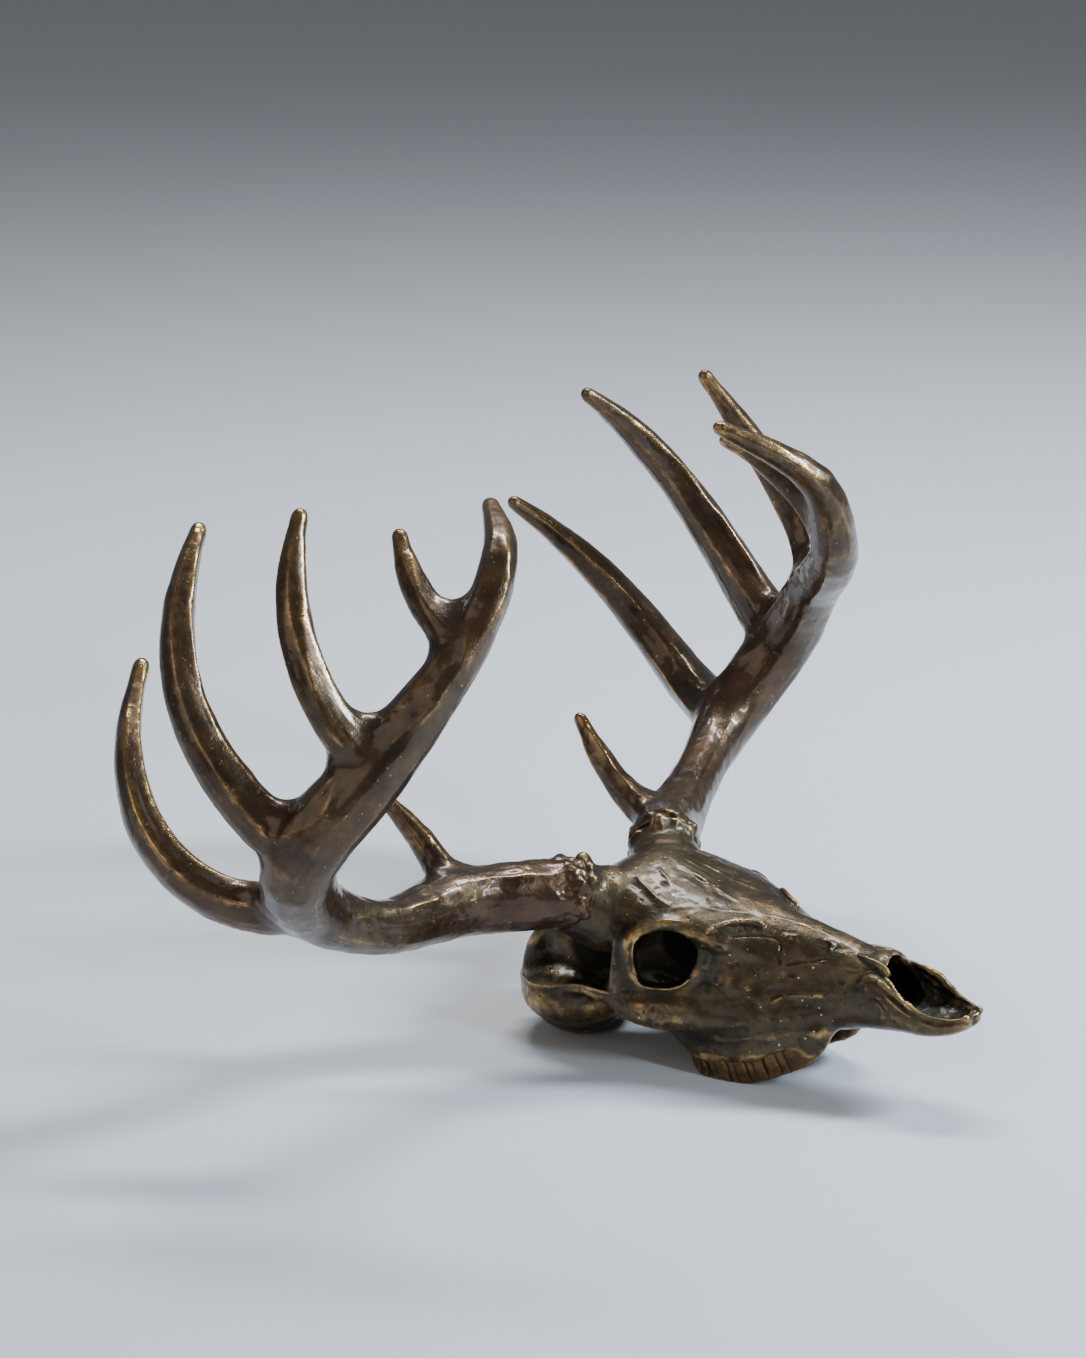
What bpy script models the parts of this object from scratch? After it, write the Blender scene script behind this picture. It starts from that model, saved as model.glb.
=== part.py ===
"""Deer skull sculpture: a life-size bronze cast of a white-tailed deer skull.

The cast has no lower jaw. It lies as a skull is laid on a table, on its two
rows of upper teeth and the round base of the braincase, with both six-point
antlers sweeping back, out and up.

Places are given in millimetres as (x, y, z): x runs forward, with zero just
ahead of the tip of the snout, y runs out from the middle plane of the skull,
and z is the height above the floor. Each side of the skull is the mirror of the
other. The two antlers differ a little, as a real pair does.
"""

import math

import bmesh
import bpy
from mathutils import Matrix, Vector

MM = 0.001

# --- driving dimensions, in millimetres -------------------------------------

SNOUT_AHEAD = 221.5       # from the middle of the whole cast to where x is zero
BRAINCASE_CENTRE = (-243.0, 0.0, 48.0)
BRAINCASE_RADII = (42.0, 35.5, 46.0)
ORBIT_CENTRE = (-173.0, 49.0, 70.0)
ORBIT_LENGTH = 40.0       # clear opening of an eye socket, front to back
ORBIT_HEIGHT = 38.0
ORBIT_TURN = 24.0         # degrees that a socket faces forward
ORBIT_DEPTH = 34.0
ORBIT_LIP = 4.2           # radius of the rolled rim
NOSE_WIDTH = 35.0         # inside the nasal opening
PEDICLE_ROOT = (-221.0, 32.0, 84.0)
PEDICLE_TOP = (-239.0, 56.0, 96.5)
PEDICLE_RADII = (24.0, 17.5)
BURR_CENTRE = (-237.0, 54.0, 97.4)
BURR_AXIS = (-0.50, 0.85, 0.12)   # the way the antler leaves the skull
BURR_RADII = (20.2, 20.2, 7.5)    # across, across and along its axis
BURR_BEADS = 11
BURR_BEAD_RADIUS = 3.3
BURR_SEAT = 6.0                   # its flat seat on the pedicle, behind its centre

SKULL_VOXEL = 2.2         # size of the cells that fuse the forms into one skin
ANTLER_VOXEL = 2.4
SKULL_FILLET = 3.0        # how far the hollows between forms are filled
ANTLER_FILLET = 9.0
SKIN_REGAIN = 0.6         # what smoothing and thinning take off a skin
SKULL_TRIANGLES = 3500
ANTLER_TRIANGLES = 1850
TINE_STEPS = 20
GAP = 0.3                 # clear gap at each parting cut

BRONZE = {
    "skull": ((0.085, 0.055, 0.032), 0.38),
    "teeth": ((0.150, 0.090, 0.042), 0.45),
    "antler": ((0.070, 0.042, 0.026), 0.32),
}

# Cross-sections of the face, from the back of the brow to the nose bones:
# x, half width, top, widest height, bottom, squareness above, squareness below
CORE = (
    (-234, 30, 98, 66, 28, 2.0, 2.0),
    (-217, 28, 109, 70, 32, 2.0, 2.0),
    (-200, 24, 111, 74, 38, 2.0, 2.0),
    (-185, 24, 108, 74, 40, 2.0, 2.0),
    (-170, 29, 103, 70, 36, 2.0, 2.2),
    (-156, 37, 99, 62, 29, 2.0, 2.4),
    (-140, 39, 96, 56, 27, 1.9, 2.6),
    (-125, 35, 93, 54, 27, 1.8, 2.6),
    (-110, 30, 90, 54, 28, 1.8, 2.6),
    (-95, 26, 87, 54, 30, 1.9, 2.6),
    (-80, 22, 83, 56, 33, 2.1, 2.6),
    (-66, 20, 79, 58, 37, 2.3, 2.6),
    (-57, 19, 77, 58, 40, 2.5, 2.6),
)

# The roof of the frontal bones, which reaches out over the eye sockets.
ROOF = (
    (-236, 30, 99, 88, 78, 2.2, 2.0),
    (-222, 40, 108.5, 89, 79, 1.9, 2.0),
    (-207, 49, 113, 89, 80, 1.6, 2.0),
    (-190, 51, 110, 88, 79, 1.6, 2.0),
    (-175, 49, 105, 88, 78, 1.8, 2.0),
    (-160, 46, 100, 86, 74, 1.9, 2.0),
    (-146, 42, 97, 82, 66, 1.8, 2.0),
    (-132, 35, 94, 76, 60, 1.8, 2.0),
    (-118, 28, 91, 70, 58, 1.8, 2.0),
)

# The premaxillae: a closed wedge that the nasal opening is cut into.
SNOUT = (
    (-78, 20, 79, 57, 34, 2.4, 2.8),
    (-60, 20, 76, 58, 38, 2.8, 2.8),
    (-50, 20.5, 72, 57, 40, 3.2, 2.8),
    (-41, 20.5, 67.5, 55, 41, 3.6, 2.8),
    (-32, 19.8, 62, 53, 41, 3.6, 2.8),
    (-23, 18, 57.5, 51, 42, 3.4, 2.8),
    (-14, 15.5, 56, 52, 44.5, 3.0, 2.8),
    (-8, 12.5, 56.5, 52.5, 47, 2.8, 2.6),
    (-4.5, 9, 57, 53, 49, 2.6, 2.4),
    (-3, 5, 56, 53, 51, 2.2, 2.2),
)

# Centre lines of the rounded bars of bone on each side: point and radius.
CHEEK = (((-202, 54, 42), 7), ((-190, 52, 38), 9.5), ((-176, 47, 37), 11), ((-160, 39, 37), 12.5),
         ((-146, 34, 37), 12.5), ((-128, 30, 38), 12), ((-110, 26, 41), 10), ((-94, 21, 44), 8.5),
         ((-76, 16, 48), 5))
CHEEK_ARCH = (((-198, 55, 43), 6), ((-210, 56, 42.5), 4.5), ((-221, 55, 43), 4), ((-234, 52, 41), 4.2),
              ((-247, 47.5, 36.5), 4.5), ((-260, 43, 32.5), 4.5), ((-271, 37, 30.5), 4.5),
              ((-279, 28, 31), 4.5))
BROW_BAR = (((-201, 46, 88), 6), ((-201, 53, 80), 5), ((-200, 56, 64), 4.6), ((-200, 56, 48), 6))
TEAR_RIDGE = (((-158, 43, 83), 4), ((-149, 43.5, 83), 4), ((-141, 41.5, 79.5), 4), ((-131, 36, 76), 3.5))
TOOTH_SOCKETS = (((-158, 32, 25), 9.5), ((-145, 31.5, 26), 10.5), ((-130, 30, 28), 10.5), ((-115, 28, 31), 10),
                 ((-100, 24, 34), 8.5), ((-88, 20, 36), 7.5))
NECK_CREST = (((-276, 30, 34), 5), ((-274, 30, 48), 4.5), ((-266, 31, 62), 4.5), ((-263, 24, 74), 4),
              ((-264, 12, 80), 4), ((-265, 0, 82), 4.5))
# Two swellings on each side of the base, which the back of the skull rests on.
BASE_SWELLINGS = (((-247, 28, 28), (32, 28, 19.5)), ((-251, 21, 23), (31, 21, 23.5)))
WING_OF_PALATE = (((-160, 17, 30), 5), ((-176, 14, 30), 3.5), ((-190, 13, 34), 3.5), ((-204, 12, 42), 5))

# Balls, flattened or not: centre, radii and turn in degrees.
CONDYLE = ((-279, 11, 30), (8, 7, 10))
END_OF_NOSE_BONES = ((-57, 0, 77.5), (9, 10, 2.4), (0, 14, 0))
NOSE_OPENING = ((-34, 0, 66), (28, NOSE_WIDTH / 2, 15.5), (9, 14, 0))
NOSE_PASSAGE = ((-64, 0, 62), (28, NOSE_WIDTH / 2 - 2, 10.5), (0, 6, 0))
SPINE_OPENING = ((-290, 0, 33), (20, 9, 9), (0, 0, 0))

# Upper teeth, back to front: centre x, y, lowest point, length, width.
TEETH = (
    (-154, 33, -0.5, 15, 13),
    (-140, 32.5, -2.0, 16, 14),
    (-126, 31, -1.6, 14, 13),
    (-114, 29, 2.5, 12, 12),
    (-103.5, 26.5, 8, 11.5, 11),
    (-93, 24, 13.5, 11.5, 9.5),
)
TOOTH_TOP = 34.0          # inside the jaw

# --- the antlers --------------------------------------------------------------
# The beam runs through its points. Each tine leaves the beam at one of them and
# is a curve with two handles and a tip. The y values are outward on both sides.
TINE_ROOTS = {"brow_tine": 1, "second_tine": 3, "third_tine": 4, "fourth_tine": 5, "fifth_tine": 6}
ANTLER_POINTS = {
    "right": {
        "beam": ((-237, 54, 98), (-275, 104, 99), (-282, 168, 103), (-292, 219, 129), (-272, 250, 170),
                 (-237, 231, 220), (-209, 190, 279), (-209, 159, 319), (-244, 117, 337)),
        "brow_tine": ((-291, 95, 111), (-308, 92, 131), (-335, 101, 154)),
        "second_tine": ((-350, 261, 116), (-395, 275, 183), (-428, 187, 237)),
        "third_tine": ((-331, 276, 218), (-357, 266, 268), (-380, 193, 322)),
        "fourth_tine": ((-254, 256, 243), (-291, 249, 292), (-302, 206, 342)),
        "fifth_tine": ((-228, 192, 287), (-249, 185, 302), (-267, 168, 327)),
    },
    "left": {
        "beam": ((-237, 54, 98), (-263, 104, 87), (-281, 169, 102), (-290, 219, 122), (-270, 252, 168),
                 (-237, 231, 213), (-201, 190, 251), (-200, 159, 301), (-245, 117, 336)),
        "brow_tine": ((-291, 92, 102), (-309, 94, 125), (-327, 101, 147)),
        "second_tine": ((-352, 259, 117), (-389, 275, 181), (-438, 187, 252)),
        "third_tine": ((-331, 270, 216), (-352, 267, 270), (-385, 193, 327)),
        "fourth_tine": ((-250, 257, 243), (-287, 246, 290), (-306, 207, 345)),
        "fifth_tine": ((-221, 193, 285), (-243, 184, 301), (-267, 168, 315)),
    },
}
ANTLER_RADII = {
    "right": {
        "beam": (19.0, 18.5, 14.5, 18.5, 20.0, 18.0, 11.5, 9.5, 3.6),
        "brow_tine": (13.0, 9.5, 7.5, 5.8, 3.4),
        "second_tine": (15.0, 12.0, 11.0, 9.4, 6.8, 3.4),
        "third_tine": (14.5, 12.0, 10.4, 9.4, 7.6, 3.6),
        "fourth_tine": (14.0, 11.0, 9.8, 8.0, 3.4),
        "fifth_tine": (11.0, 8.2, 7.0, 3.2),
    },
    "left": {
        "beam": (19.0, 18.0, 14.5, 18.5, 19.5, 16.0, 14.0, 9.5, 3.6),
        "brow_tine": (13.0, 9.8, 7.8, 6.0, 3.4),
        "second_tine": (17.0, 14.8, 13.0, 11.2, 8.4, 3.6),
        "third_tine": (16.0, 13.8, 12.4, 10.6, 8.4, 3.6),
        "fourth_tine": (13.5, 10.4, 9.6, 7.8, 3.4),
        "fifth_tine": (11.0, 9.0, 7.4, 3.2),
    },
}
SIDES = {"right": -1, "left": 1}

# The beam is parted at these places, counted in beam points from the burr, and
# each tine a little way out of the beam.
BEAM_CUTS = (1.55, 2.5, 4.45, 5.5)
BEAM_PIECES = {"beam_base": 0.5, "beam_lower": 2.0, "beam_fork": 3.6, "beam_middle": 5.0, "beam_top": 7.0}
TINE_CUT_BEYOND_BEAM = 14.0
CUT_BEYOND_SKIN = 9.0     # how far a parting disc reaches past the bar it cuts

# The skull is parted across at these places, and the teeth along a line that
# rises towards the front.
BROW_CUT = -207.0
BROW_CUT_LEAN = 6.0       # degrees
FACE_CUT = -152.0
MUZZLE_CUT = -84.0
TOOTH_LINE_MIDDLE = (-126.0, 29.0, 16.5)
TOOTH_LINE_RISE = 9.0     # degrees


# --- places -------------------------------------------------------------------

def place(point, side=1):
    """The point in metres, in the frame of the whole cast."""
    x, y, z = point
    return Vector(((x + SNOUT_AHEAD) * MM, y * side * MM, z * MM))


def turned(turn, side=1):
    """The turn in degrees about x, y and z on the left side, or its mirror on the right."""
    spin = Matrix.Identity(4)
    for angle, axis in zip(turn, "XYZ"):
        sign = 1 if axis == "Y" else side
        spin = Matrix.Rotation(math.radians(angle * sign), 4, axis) @ spin
    return spin


def facing(direction, side=1):
    """The turn that lays z along the direction."""
    x, y, z = direction
    return Vector((x, y * side, z)).to_track_quat("Z", "Y").to_matrix().to_4x4()


def laid(centre, spin, size, side=1):
    """The matrix that makes a form of unit size a real one, turned and in its place."""
    return Matrix.Translation(place(centre, side)) @ spin @ Matrix.Diagonal((*size, 1.0 / MM)) * MM


def smooth_run(values, share):
    """A smooth curve through the values, read at a share from 0 to 1."""
    place_along = min(max(share, 0.0), 1.0) * (len(values) - 1)
    start = min(int(place_along), len(values) - 2)
    t = place_along - start
    p1 = Vector(values[start])
    p2 = Vector(values[start + 1])
    p0 = Vector(values[start - 1]) if start > 0 else 2 * p1 - p2
    p3 = Vector(values[start + 2]) if start + 2 < len(values) else 2 * p2 - p1
    return 0.5 * (2 * p1 + (p2 - p0) * t + (2 * p0 - 5 * p1 + 4 * p2 - p3) * t * t
                  + (3 * p1 - p0 - 3 * p2 + p3) * t ** 3)


def smooth_number(values, share):
    return smooth_run([(value, 0.0) for value in values], share)[0]


def tine_point(root, handles, share):
    """A place on a tine: a cubic curve from the beam's centre line to the tip."""
    near, far, tip = (Vector(p) for p in handles)
    rest = 1 - share
    return (Vector(root) * rest ** 3 + 3 * near * share * rest ** 2
            + 3 * far * share ** 2 * rest + tip * share ** 3)


# --- collections, materials and raw forms ----------------------------------------

def clear_scene():
    for obj in list(bpy.data.objects):
        bpy.data.objects.remove(obj, do_unlink=True)


def new_collection(name):
    collection = bpy.data.collections.new(name)
    bpy.context.scene.collection.children.link(collection)
    return collection


def bronze(name):
    colour, roughness = BRONZE[name]
    material = bpy.data.materials.new("bronze_" + name)
    material.use_nodes = True
    shader = material.node_tree.nodes["Principled BSDF"]
    shader.inputs["Base Color"].default_value = (*colour, 1.0)
    shader.inputs["Metallic"].default_value = 0.9
    shader.inputs["Roughness"].default_value = roughness
    return material


def add_tube(shell, run, side=1, steps=8):
    """Add a bar of round section that swells and thins along its centre line."""
    count = steps * (len(run) - 1)
    centres, radii = zip(*run)
    points = [smooth_run(centres, i / count) for i in range(count + 1)]
    sizes = [smooth_number(radii, i / count) for i in range(count + 1)]
    add_round_bar(shell, points, sizes, side)


def add_round_bar(shell, points, sizes, side=1):
    """Add a bar through the points, with a ball at each end."""
    curve = bpy.data.curves.new("bar", "CURVE")
    curve.dimensions = "3D"
    curve.bevel_depth = MM
    curve.bevel_resolution = 4
    curve.use_fill_caps = True
    spline = curve.splines.new("POLY")
    spline.points.add(len(points) - 1)
    for spot, point, size in zip(spline.points, points, sizes):
        spot.co = (*place(point, side), 1.0)
        spot.radius = size
    holder = bpy.data.objects.new("bar", curve)
    bpy.context.scene.collection.objects.link(holder)
    bpy.context.view_layer.update()
    mesh = bpy.data.meshes.new_from_object(holder.evaluated_get(bpy.context.evaluated_depsgraph_get()))
    shell.from_mesh(mesh)
    bpy.data.objects.remove(holder)
    bpy.data.meshes.remove(mesh)
    bpy.data.curves.remove(curve)
    add_ball(shell, points[0], [sizes[0]] * 3, side)
    add_ball(shell, points[-1], [sizes[-1]] * 3, side)


def add_ball(shell, centre, radii, side=1, turn=(0, 0, 0)):
    """Add an ellipsoid. The turn is in degrees about x, y and z on the left side."""
    matrix = laid(centre, turned(turn, side), radii, side)
    bmesh.ops.create_uvsphere(shell, u_segments=32, v_segments=20, radius=1.0, matrix=matrix)


def section(values, points=36):
    """One closed cross-section of the skull, square to x."""
    x, half_width, top, widest, bottom, above, below = values
    ring = []
    for i in range(points):
        angle = 2 * math.pi * i / points
        across, up = math.cos(angle), math.sin(angle)
        power = 2 / (above if up > 0 else below)
        reach = top - widest if up > 0 else widest - bottom
        y = half_width * math.copysign(abs(across) ** power, across)
        z = widest + reach * math.copysign(abs(up) ** power, up)
        ring.append(place((x, y, z)))
    return ring


def add_loft(shell, stations, between=4):
    """Add a closed skin over the cross-sections, smooth from one to the next."""
    steps = between * (len(stations) - 1)
    rings = []
    for i in range(steps + 1):
        ring = section(smooth_run(stations, i / steps))
        rings.append([shell.verts.new(point) for point in ring])
    for back, front in zip(rings, rings[1:]):
        for i in range(len(back)):
            j = (i + 1) % len(back)
            shell.faces.new((back[i], back[j], front[j], front[i]))
    shell.faces.new(rings[0])
    shell.faces.new(reversed(rings[-1]))


def to_object(shell, name, collection):
    mesh = bpy.data.meshes.new(name)
    bmesh.ops.remove_doubles(shell, verts=shell.verts, dist=0.00001)
    bmesh.ops.recalc_face_normals(shell, faces=shell.faces)
    shell.to_mesh(mesh)
    shell.free()
    obj = bpy.data.objects.new(name, mesh)
    collection.objects.link(obj)
    return obj


# --- working on a form -----------------------------------------------------------

def settle(obj):
    """Give the object the shape that its modifiers make, and drop them."""
    bpy.context.view_layer.update()
    mesh = bpy.data.meshes.new_from_object(obj.evaluated_get(bpy.context.evaluated_depsgraph_get()))
    obj.modifiers.clear()
    old = obj.data
    obj.data = mesh
    bpy.data.meshes.remove(old)


def fuse(obj, voxel, fillet, smoothing):
    """Fuse overlapping forms into one skin and round the hollows between them."""
    for reach in (fillet, SKIN_REGAIN - fillet):
        remesh = obj.modifiers.new("one skin", "REMESH")
        remesh.mode = "VOXEL"
        remesh.voxel_size = voxel * MM
        swell = obj.modifiers.new("swell", "DISPLACE")
        swell.strength = reach * MM
        swell.mid_level = 0.0
    smooth = obj.modifiers.new("smooth", "SMOOTH")
    smooth.iterations = smoothing
    settle(obj)


def thin_out(obj, triangles):
    """Reduce the skin to about the number of triangles given."""
    now = sum(len(face.vertices) - 2 for face in obj.data.polygons)
    decimate = obj.modifiers.new("thin out", "DECIMATE")
    decimate.ratio = min(1.0, triangles / now)
    decimate.use_collapse_triangulate = True
    settle(obj)


def cut(obj, cutter):
    boolean = obj.modifiers.new("cut", "BOOLEAN")
    boolean.operation = "DIFFERENCE"
    boolean.object = cutter
    settle(obj)


def new_cutter(shell, name, collection):
    cutter = to_object(shell, name, collection)
    cutter.hide_render = True
    cutter.display_type = "WIRE"
    return cutter


def add_slab(shell, centre, size, turn=(0, 0, 0), side=1):
    """Add a box to a cutter. The turn is in degrees about x, y and z on the left side."""
    bmesh.ops.create_cube(shell, size=1.0, matrix=laid(centre, turned(turn, side), size, side))


def add_disc(shell, centre, direction, radius, side=1):
    """Add a thin disc to a cutter, square to the direction."""
    matrix = laid(centre, facing(direction, side), (radius, radius, GAP), side)
    bmesh.ops.create_cone(shell, cap_ends=True, segments=24, radius1=1.0, radius2=1.0, depth=1.0, matrix=matrix)


def loose_pieces(obj):
    """Split the object into its separate bodies, and return them."""
    shell = bmesh.new()
    shell.from_mesh(obj.data)
    waiting = set(shell.verts)
    bodies = []
    while waiting:
        edge_of_body = [waiting.pop()]
        body = set(edge_of_body)
        while edge_of_body:
            vert = edge_of_body.pop()
            for edge in vert.link_edges:
                other = edge.other_vert(vert)
                if other not in body:
                    body.add(other)
                    edge_of_body.append(other)
        waiting -= body
        bodies.append({vert.index for vert in body})
    shell.free()
    pieces = []
    for body in bodies:
        part = bmesh.new()
        part.from_mesh(obj.data)
        part.verts.ensure_lookup_table()
        bmesh.ops.delete(part, geom=[v for v in part.verts if v.index not in body], context="VERTS")
        pieces.append(to_object(part, obj.name, obj.users_collection[0]))
    bpy.data.objects.remove(obj)
    return pieces


def name_pieces(pieces, places):
    """Name each body after the place that lies nearest to it."""
    named = []
    for name, point in places.items():
        nearest = min(pieces, key=lambda piece: min((vert.co - point).length for vert in piece.data.vertices))
        pieces.remove(nearest)
        nearest.name = name
        nearest.data.name = name
        named.append(nearest)
    for crumb in pieces:
        bpy.data.objects.remove(crumb)
    return named


def finish(piece, material):
    piece.data.materials.clear()
    piece.data.materials.append(material)
    piece.data.shade_smooth()
    piece.data.set_sharp_from_angle(angle=math.radians(50))


# --- the skull --------------------------------------------------------------------

def skull_form(collection):
    shell = bmesh.new()
    add_ball(shell, BRAINCASE_CENTRE, BRAINCASE_RADII)
    for stations in (CORE, ROOF, SNOUT):
        add_loft(shell, stations)
    centre, radii, turn = END_OF_NOSE_BONES
    add_ball(shell, centre, radii, turn=turn)
    for side in SIDES.values():
        for run in (CHEEK, CHEEK_ARCH, BROW_BAR, TEAR_RIDGE, TOOTH_SOCKETS, NECK_CREST, WING_OF_PALATE):
            add_tube(shell, run, side)
        for centre, radii in (*BASE_SWELLINGS, CONDYLE):
            add_ball(shell, centre, radii, side)
        add_tube(shell, ((PEDICLE_ROOT, PEDICLE_RADII[0]), (PEDICLE_TOP, PEDICLE_RADII[1])), side)
        add_teeth(shell, side)
        add_orbit_rim(shell, side)
    return to_object(shell, "skull", collection)


def add_teeth(shell, side):
    """Add the row of teeth: a ball for each crown, with a block inside that squares it."""
    for x, y, lowest, length, width in TEETH:
        half_height = (TOOTH_TOP - lowest) / 2
        add_ball(shell, (x, y, lowest + half_height), (length * 0.56, width * 0.5, half_height), side)
        add_slab(shell, (x, y, lowest + 14), (length * 0.8, width * 0.8, 20), side=side)


def orbit_point(angle, out=0.0, grow=0.0):
    """A place on the rim of an eye socket: angle 0 is its front, 90 its top."""
    turn = math.radians(ORBIT_TURN)
    along = (ORBIT_LENGTH / 2 + grow) * math.cos(math.radians(angle))
    up = (ORBIT_HEIGHT / 2 + grow) * math.sin(math.radians(angle))
    x, y, z = ORBIT_CENTRE
    return (x + along * math.cos(turn) + out * math.sin(turn),
            y - along * math.sin(turn) + out * math.cos(turn), z + up)


def add_orbit_rim(shell, side, steps=28):
    points = [orbit_point(360 * i / steps, grow=ORBIT_LIP * 0.8) for i in range(steps + 1)]
    add_round_bar(shell, points, [ORBIT_LIP] * len(points), side)


def hollows(collection):
    """The openings of the skull, one cutter for each, so that no cutter crosses itself."""
    radii = (ORBIT_LENGTH / 2, ORBIT_DEPTH, ORBIT_HEIGHT / 2)
    middle = orbit_point(0, out=6.0, grow=-ORBIT_LENGTH / 2)
    forms = [("eye_socket_" + name, middle, radii, side, (0, 0, -ORBIT_TURN)) for name, side in SIDES.items()]
    for name, (centre, size, turn) in (("nose_opening", NOSE_OPENING), ("nose_passage", NOSE_PASSAGE),
                                       ("spine_opening", SPINE_OPENING)):
        forms.append((name, centre, size, 1, turn))
    cutters = []
    for name, centre, size, side, turn in forms:
        shell = bmesh.new()
        add_ball(shell, centre, size, side, turn)
        cutters.append(new_cutter(shell, name, collection))
    return cutters


def floor_cutter(collection):
    """A block under the floor, which leaves small flats where the cast rests."""
    shell = bmesh.new()
    add_slab(shell, (-200, 0, -20), (300, 200, 40))
    return new_cutter(shell, "floor_cutter", collection)


def tooth_line(x):
    """Height of the cut between teeth and jaw at a place along the row."""
    middle_x, middle_y, middle_z = TOOTH_LINE_MIDDLE
    return middle_z + (x - middle_x) * math.tan(math.radians(TOOTH_LINE_RISE))


def skull_partings(collection):
    """Thin slabs that part the skull into its named pieces."""
    across = (GAP, 170.0, 190.0)
    along_the_teeth = (92.0, 30.0, GAP)
    face_middle = tooth_line(FACE_CUT) + across[2] / 2
    slabs = [
        ("parting_brow", (BROW_CUT, 0, 60), across, (0, BROW_CUT_LEAN, 0), 1),
        ("parting_face", (FACE_CUT, 0, face_middle), across, (0, 0, 0), 1),
        ("parting_muzzle", (MUZZLE_CUT, 0, 60), across, (0, 0, 0), 1),
    ]
    for name, side in SIDES.items():
        turn = (0, -TOOTH_LINE_RISE, 0)
        slabs.append(("parting_teeth_" + name, TOOTH_LINE_MIDDLE, along_the_teeth, turn, side))
    cutters = []
    for name, centre, size, turn, side in slabs:
        shell = bmesh.new()
        add_slab(shell, centre, size, turn, side)
        cutters.append(new_cutter(shell, name, collection))
    return cutters


def beyond_the_seat(side, towards_antler):
    """A block that covers all on one side of the seat between pedicle and burr."""
    size = (70.0, 70.0, 60.0)
    reach = size[2] / 2
    offset = reach - GAP / 2 if towards_antler else GAP / 2 - reach
    centre = Vector(BURR_CENTRE) + Vector(BURR_AXIS).normalized() * (offset - BURR_SEAT)
    shell = bmesh.new()
    bmesh.ops.create_cube(shell, size=1.0, matrix=laid(centre, facing(BURR_AXIS, side), size, side))
    return shell


def build_skull(collection, cutters):
    skull = skull_form(collection)
    fuse(skull, SKULL_VOXEL, SKULL_FILLET, 4)
    for hollow in hollows(cutters):
        cut(skull, hollow)
    thin_out(skull, SKULL_TRIANGLES)
    cut(skull, floor_cutter(cutters))
    for name, side in SIDES.items():
        cut(skull, new_cutter(beyond_the_seat(side, True), "pedicle_end_" + name, cutters))
    for parting in skull_partings(cutters):
        cut(skull, parting)
    places = {
        "braincase": (-243, 0, 2),
        "brow": (-178, 0, 105),
        "face": (-120, 0, 92),
        "muzzle": (-20, 0, 44),
        "teeth_right": (-126, -30, 2),
        "teeth_left": (-126, 30, 2),
    }
    skull_bronze = bronze("skull")
    tooth_bronze = bronze("teeth")
    named = name_pieces(loose_pieces(skull), {name: place(point) for name, point in places.items()})
    for piece in named:
        finish(piece, tooth_bronze if piece.name.startswith("teeth") else skull_bronze)


# --- the antlers ------------------------------------------------------------------

def add_burr(shell, side):
    """Add the rough ring that the antler stands on: a flat ball with beads round it."""
    spin = facing(BURR_AXIS, side)
    matrix = laid(BURR_CENTRE, spin, BURR_RADII, side)
    bmesh.ops.create_uvsphere(shell, u_segments=32, v_segments=16, radius=1.0, matrix=matrix)
    for i in range(BURR_BEADS):
        angle = 2 * math.pi * i / BURR_BEADS
        bead = spin @ Vector((math.cos(angle), math.sin(angle), 0)) * (BURR_RADII[0] - 1.0)
        size = BURR_BEAD_RADIUS + math.sin(5 * angle)
        centre = Vector(BURR_CENTRE) + Vector((bead.x, bead.y * side, bead.z))
        add_ball(shell, centre, (size, size, size), side)


def antler_form(side_name, collection):
    shape = ANTLER_POINTS[side_name]
    thickness = ANTLER_RADII[side_name]
    side = SIDES[side_name]
    shell = bmesh.new()
    add_burr(shell, side)
    add_tube(shell, tuple(zip(shape["beam"], thickness["beam"])), side)
    shares = [i / TINE_STEPS for i in range(TINE_STEPS + 1)]
    for name, start in TINE_ROOTS.items():
        points = [tine_point(shape["beam"][start], shape[name], share) for share in shares]
        sizes = [smooth_number(thickness[name], share) for share in shares]
        add_round_bar(shell, points, sizes, side)
    return to_object(shell, "antler_" + side_name, collection)


def foot_of_tine(beam, root, handles, reach):
    """Where a tine first lies that far from the beam: its share, the point and the way out."""
    beam_line = [smooth_run(beam, i / 80) for i in range(81)]
    share = 0.0
    while True:
        point = tine_point(root, handles, share)
        nearest = min(beam_line, key=lambda spot: (point - spot).length)
        if (point - nearest).length >= reach:
            along = (tine_point(root, handles, share + 0.05) - point).normalized()
            return share, point, along + (point - nearest).normalized()
        share += 0.01


def antler_partings(side_name, collection):
    """Thin discs across the beam between its forks, and across the foot of each tine."""
    points = ANTLER_POINTS[side_name]
    thickness = ANTLER_RADII[side_name]
    side = SIDES[side_name]
    beam = points["beam"]
    last = len(beam) - 1
    shell = bmesh.new()
    for spot in BEAM_CUTS:
        centre = smooth_run(beam, spot / last)
        way = smooth_run(beam, (spot + 0.1) / last) - smooth_run(beam, (spot - 0.1) / last)
        radius = smooth_number(thickness["beam"], spot / last)
        add_disc(shell, centre, way, radius + CUT_BEYOND_SKIN, side)
    for name, start in TINE_ROOTS.items():
        reach = thickness["beam"][start] + TINE_CUT_BEYOND_BEAM
        share, centre, way = foot_of_tine(beam, beam[start], points[name], reach)
        radius = smooth_number(thickness[name], share)
        add_disc(shell, centre, way, radius + CUT_BEYOND_SKIN, side)
    return new_cutter(shell, "antler_partings_" + side_name, collection)


def antler_places(side_name):
    """A place on each piece of the antler, by the piece's name."""
    points = ANTLER_POINTS[side_name]
    side = SIDES[side_name]
    last = len(points["beam"]) - 1
    places = {}
    for name in TINE_ROOTS:
        places["antler_" + side_name + "_" + name] = place(points[name][-1], side)
    for name, spot in BEAM_PIECES.items():
        places["antler_" + side_name + "_" + name] = place(smooth_run(points["beam"], spot / last), side)
    return places


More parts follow.
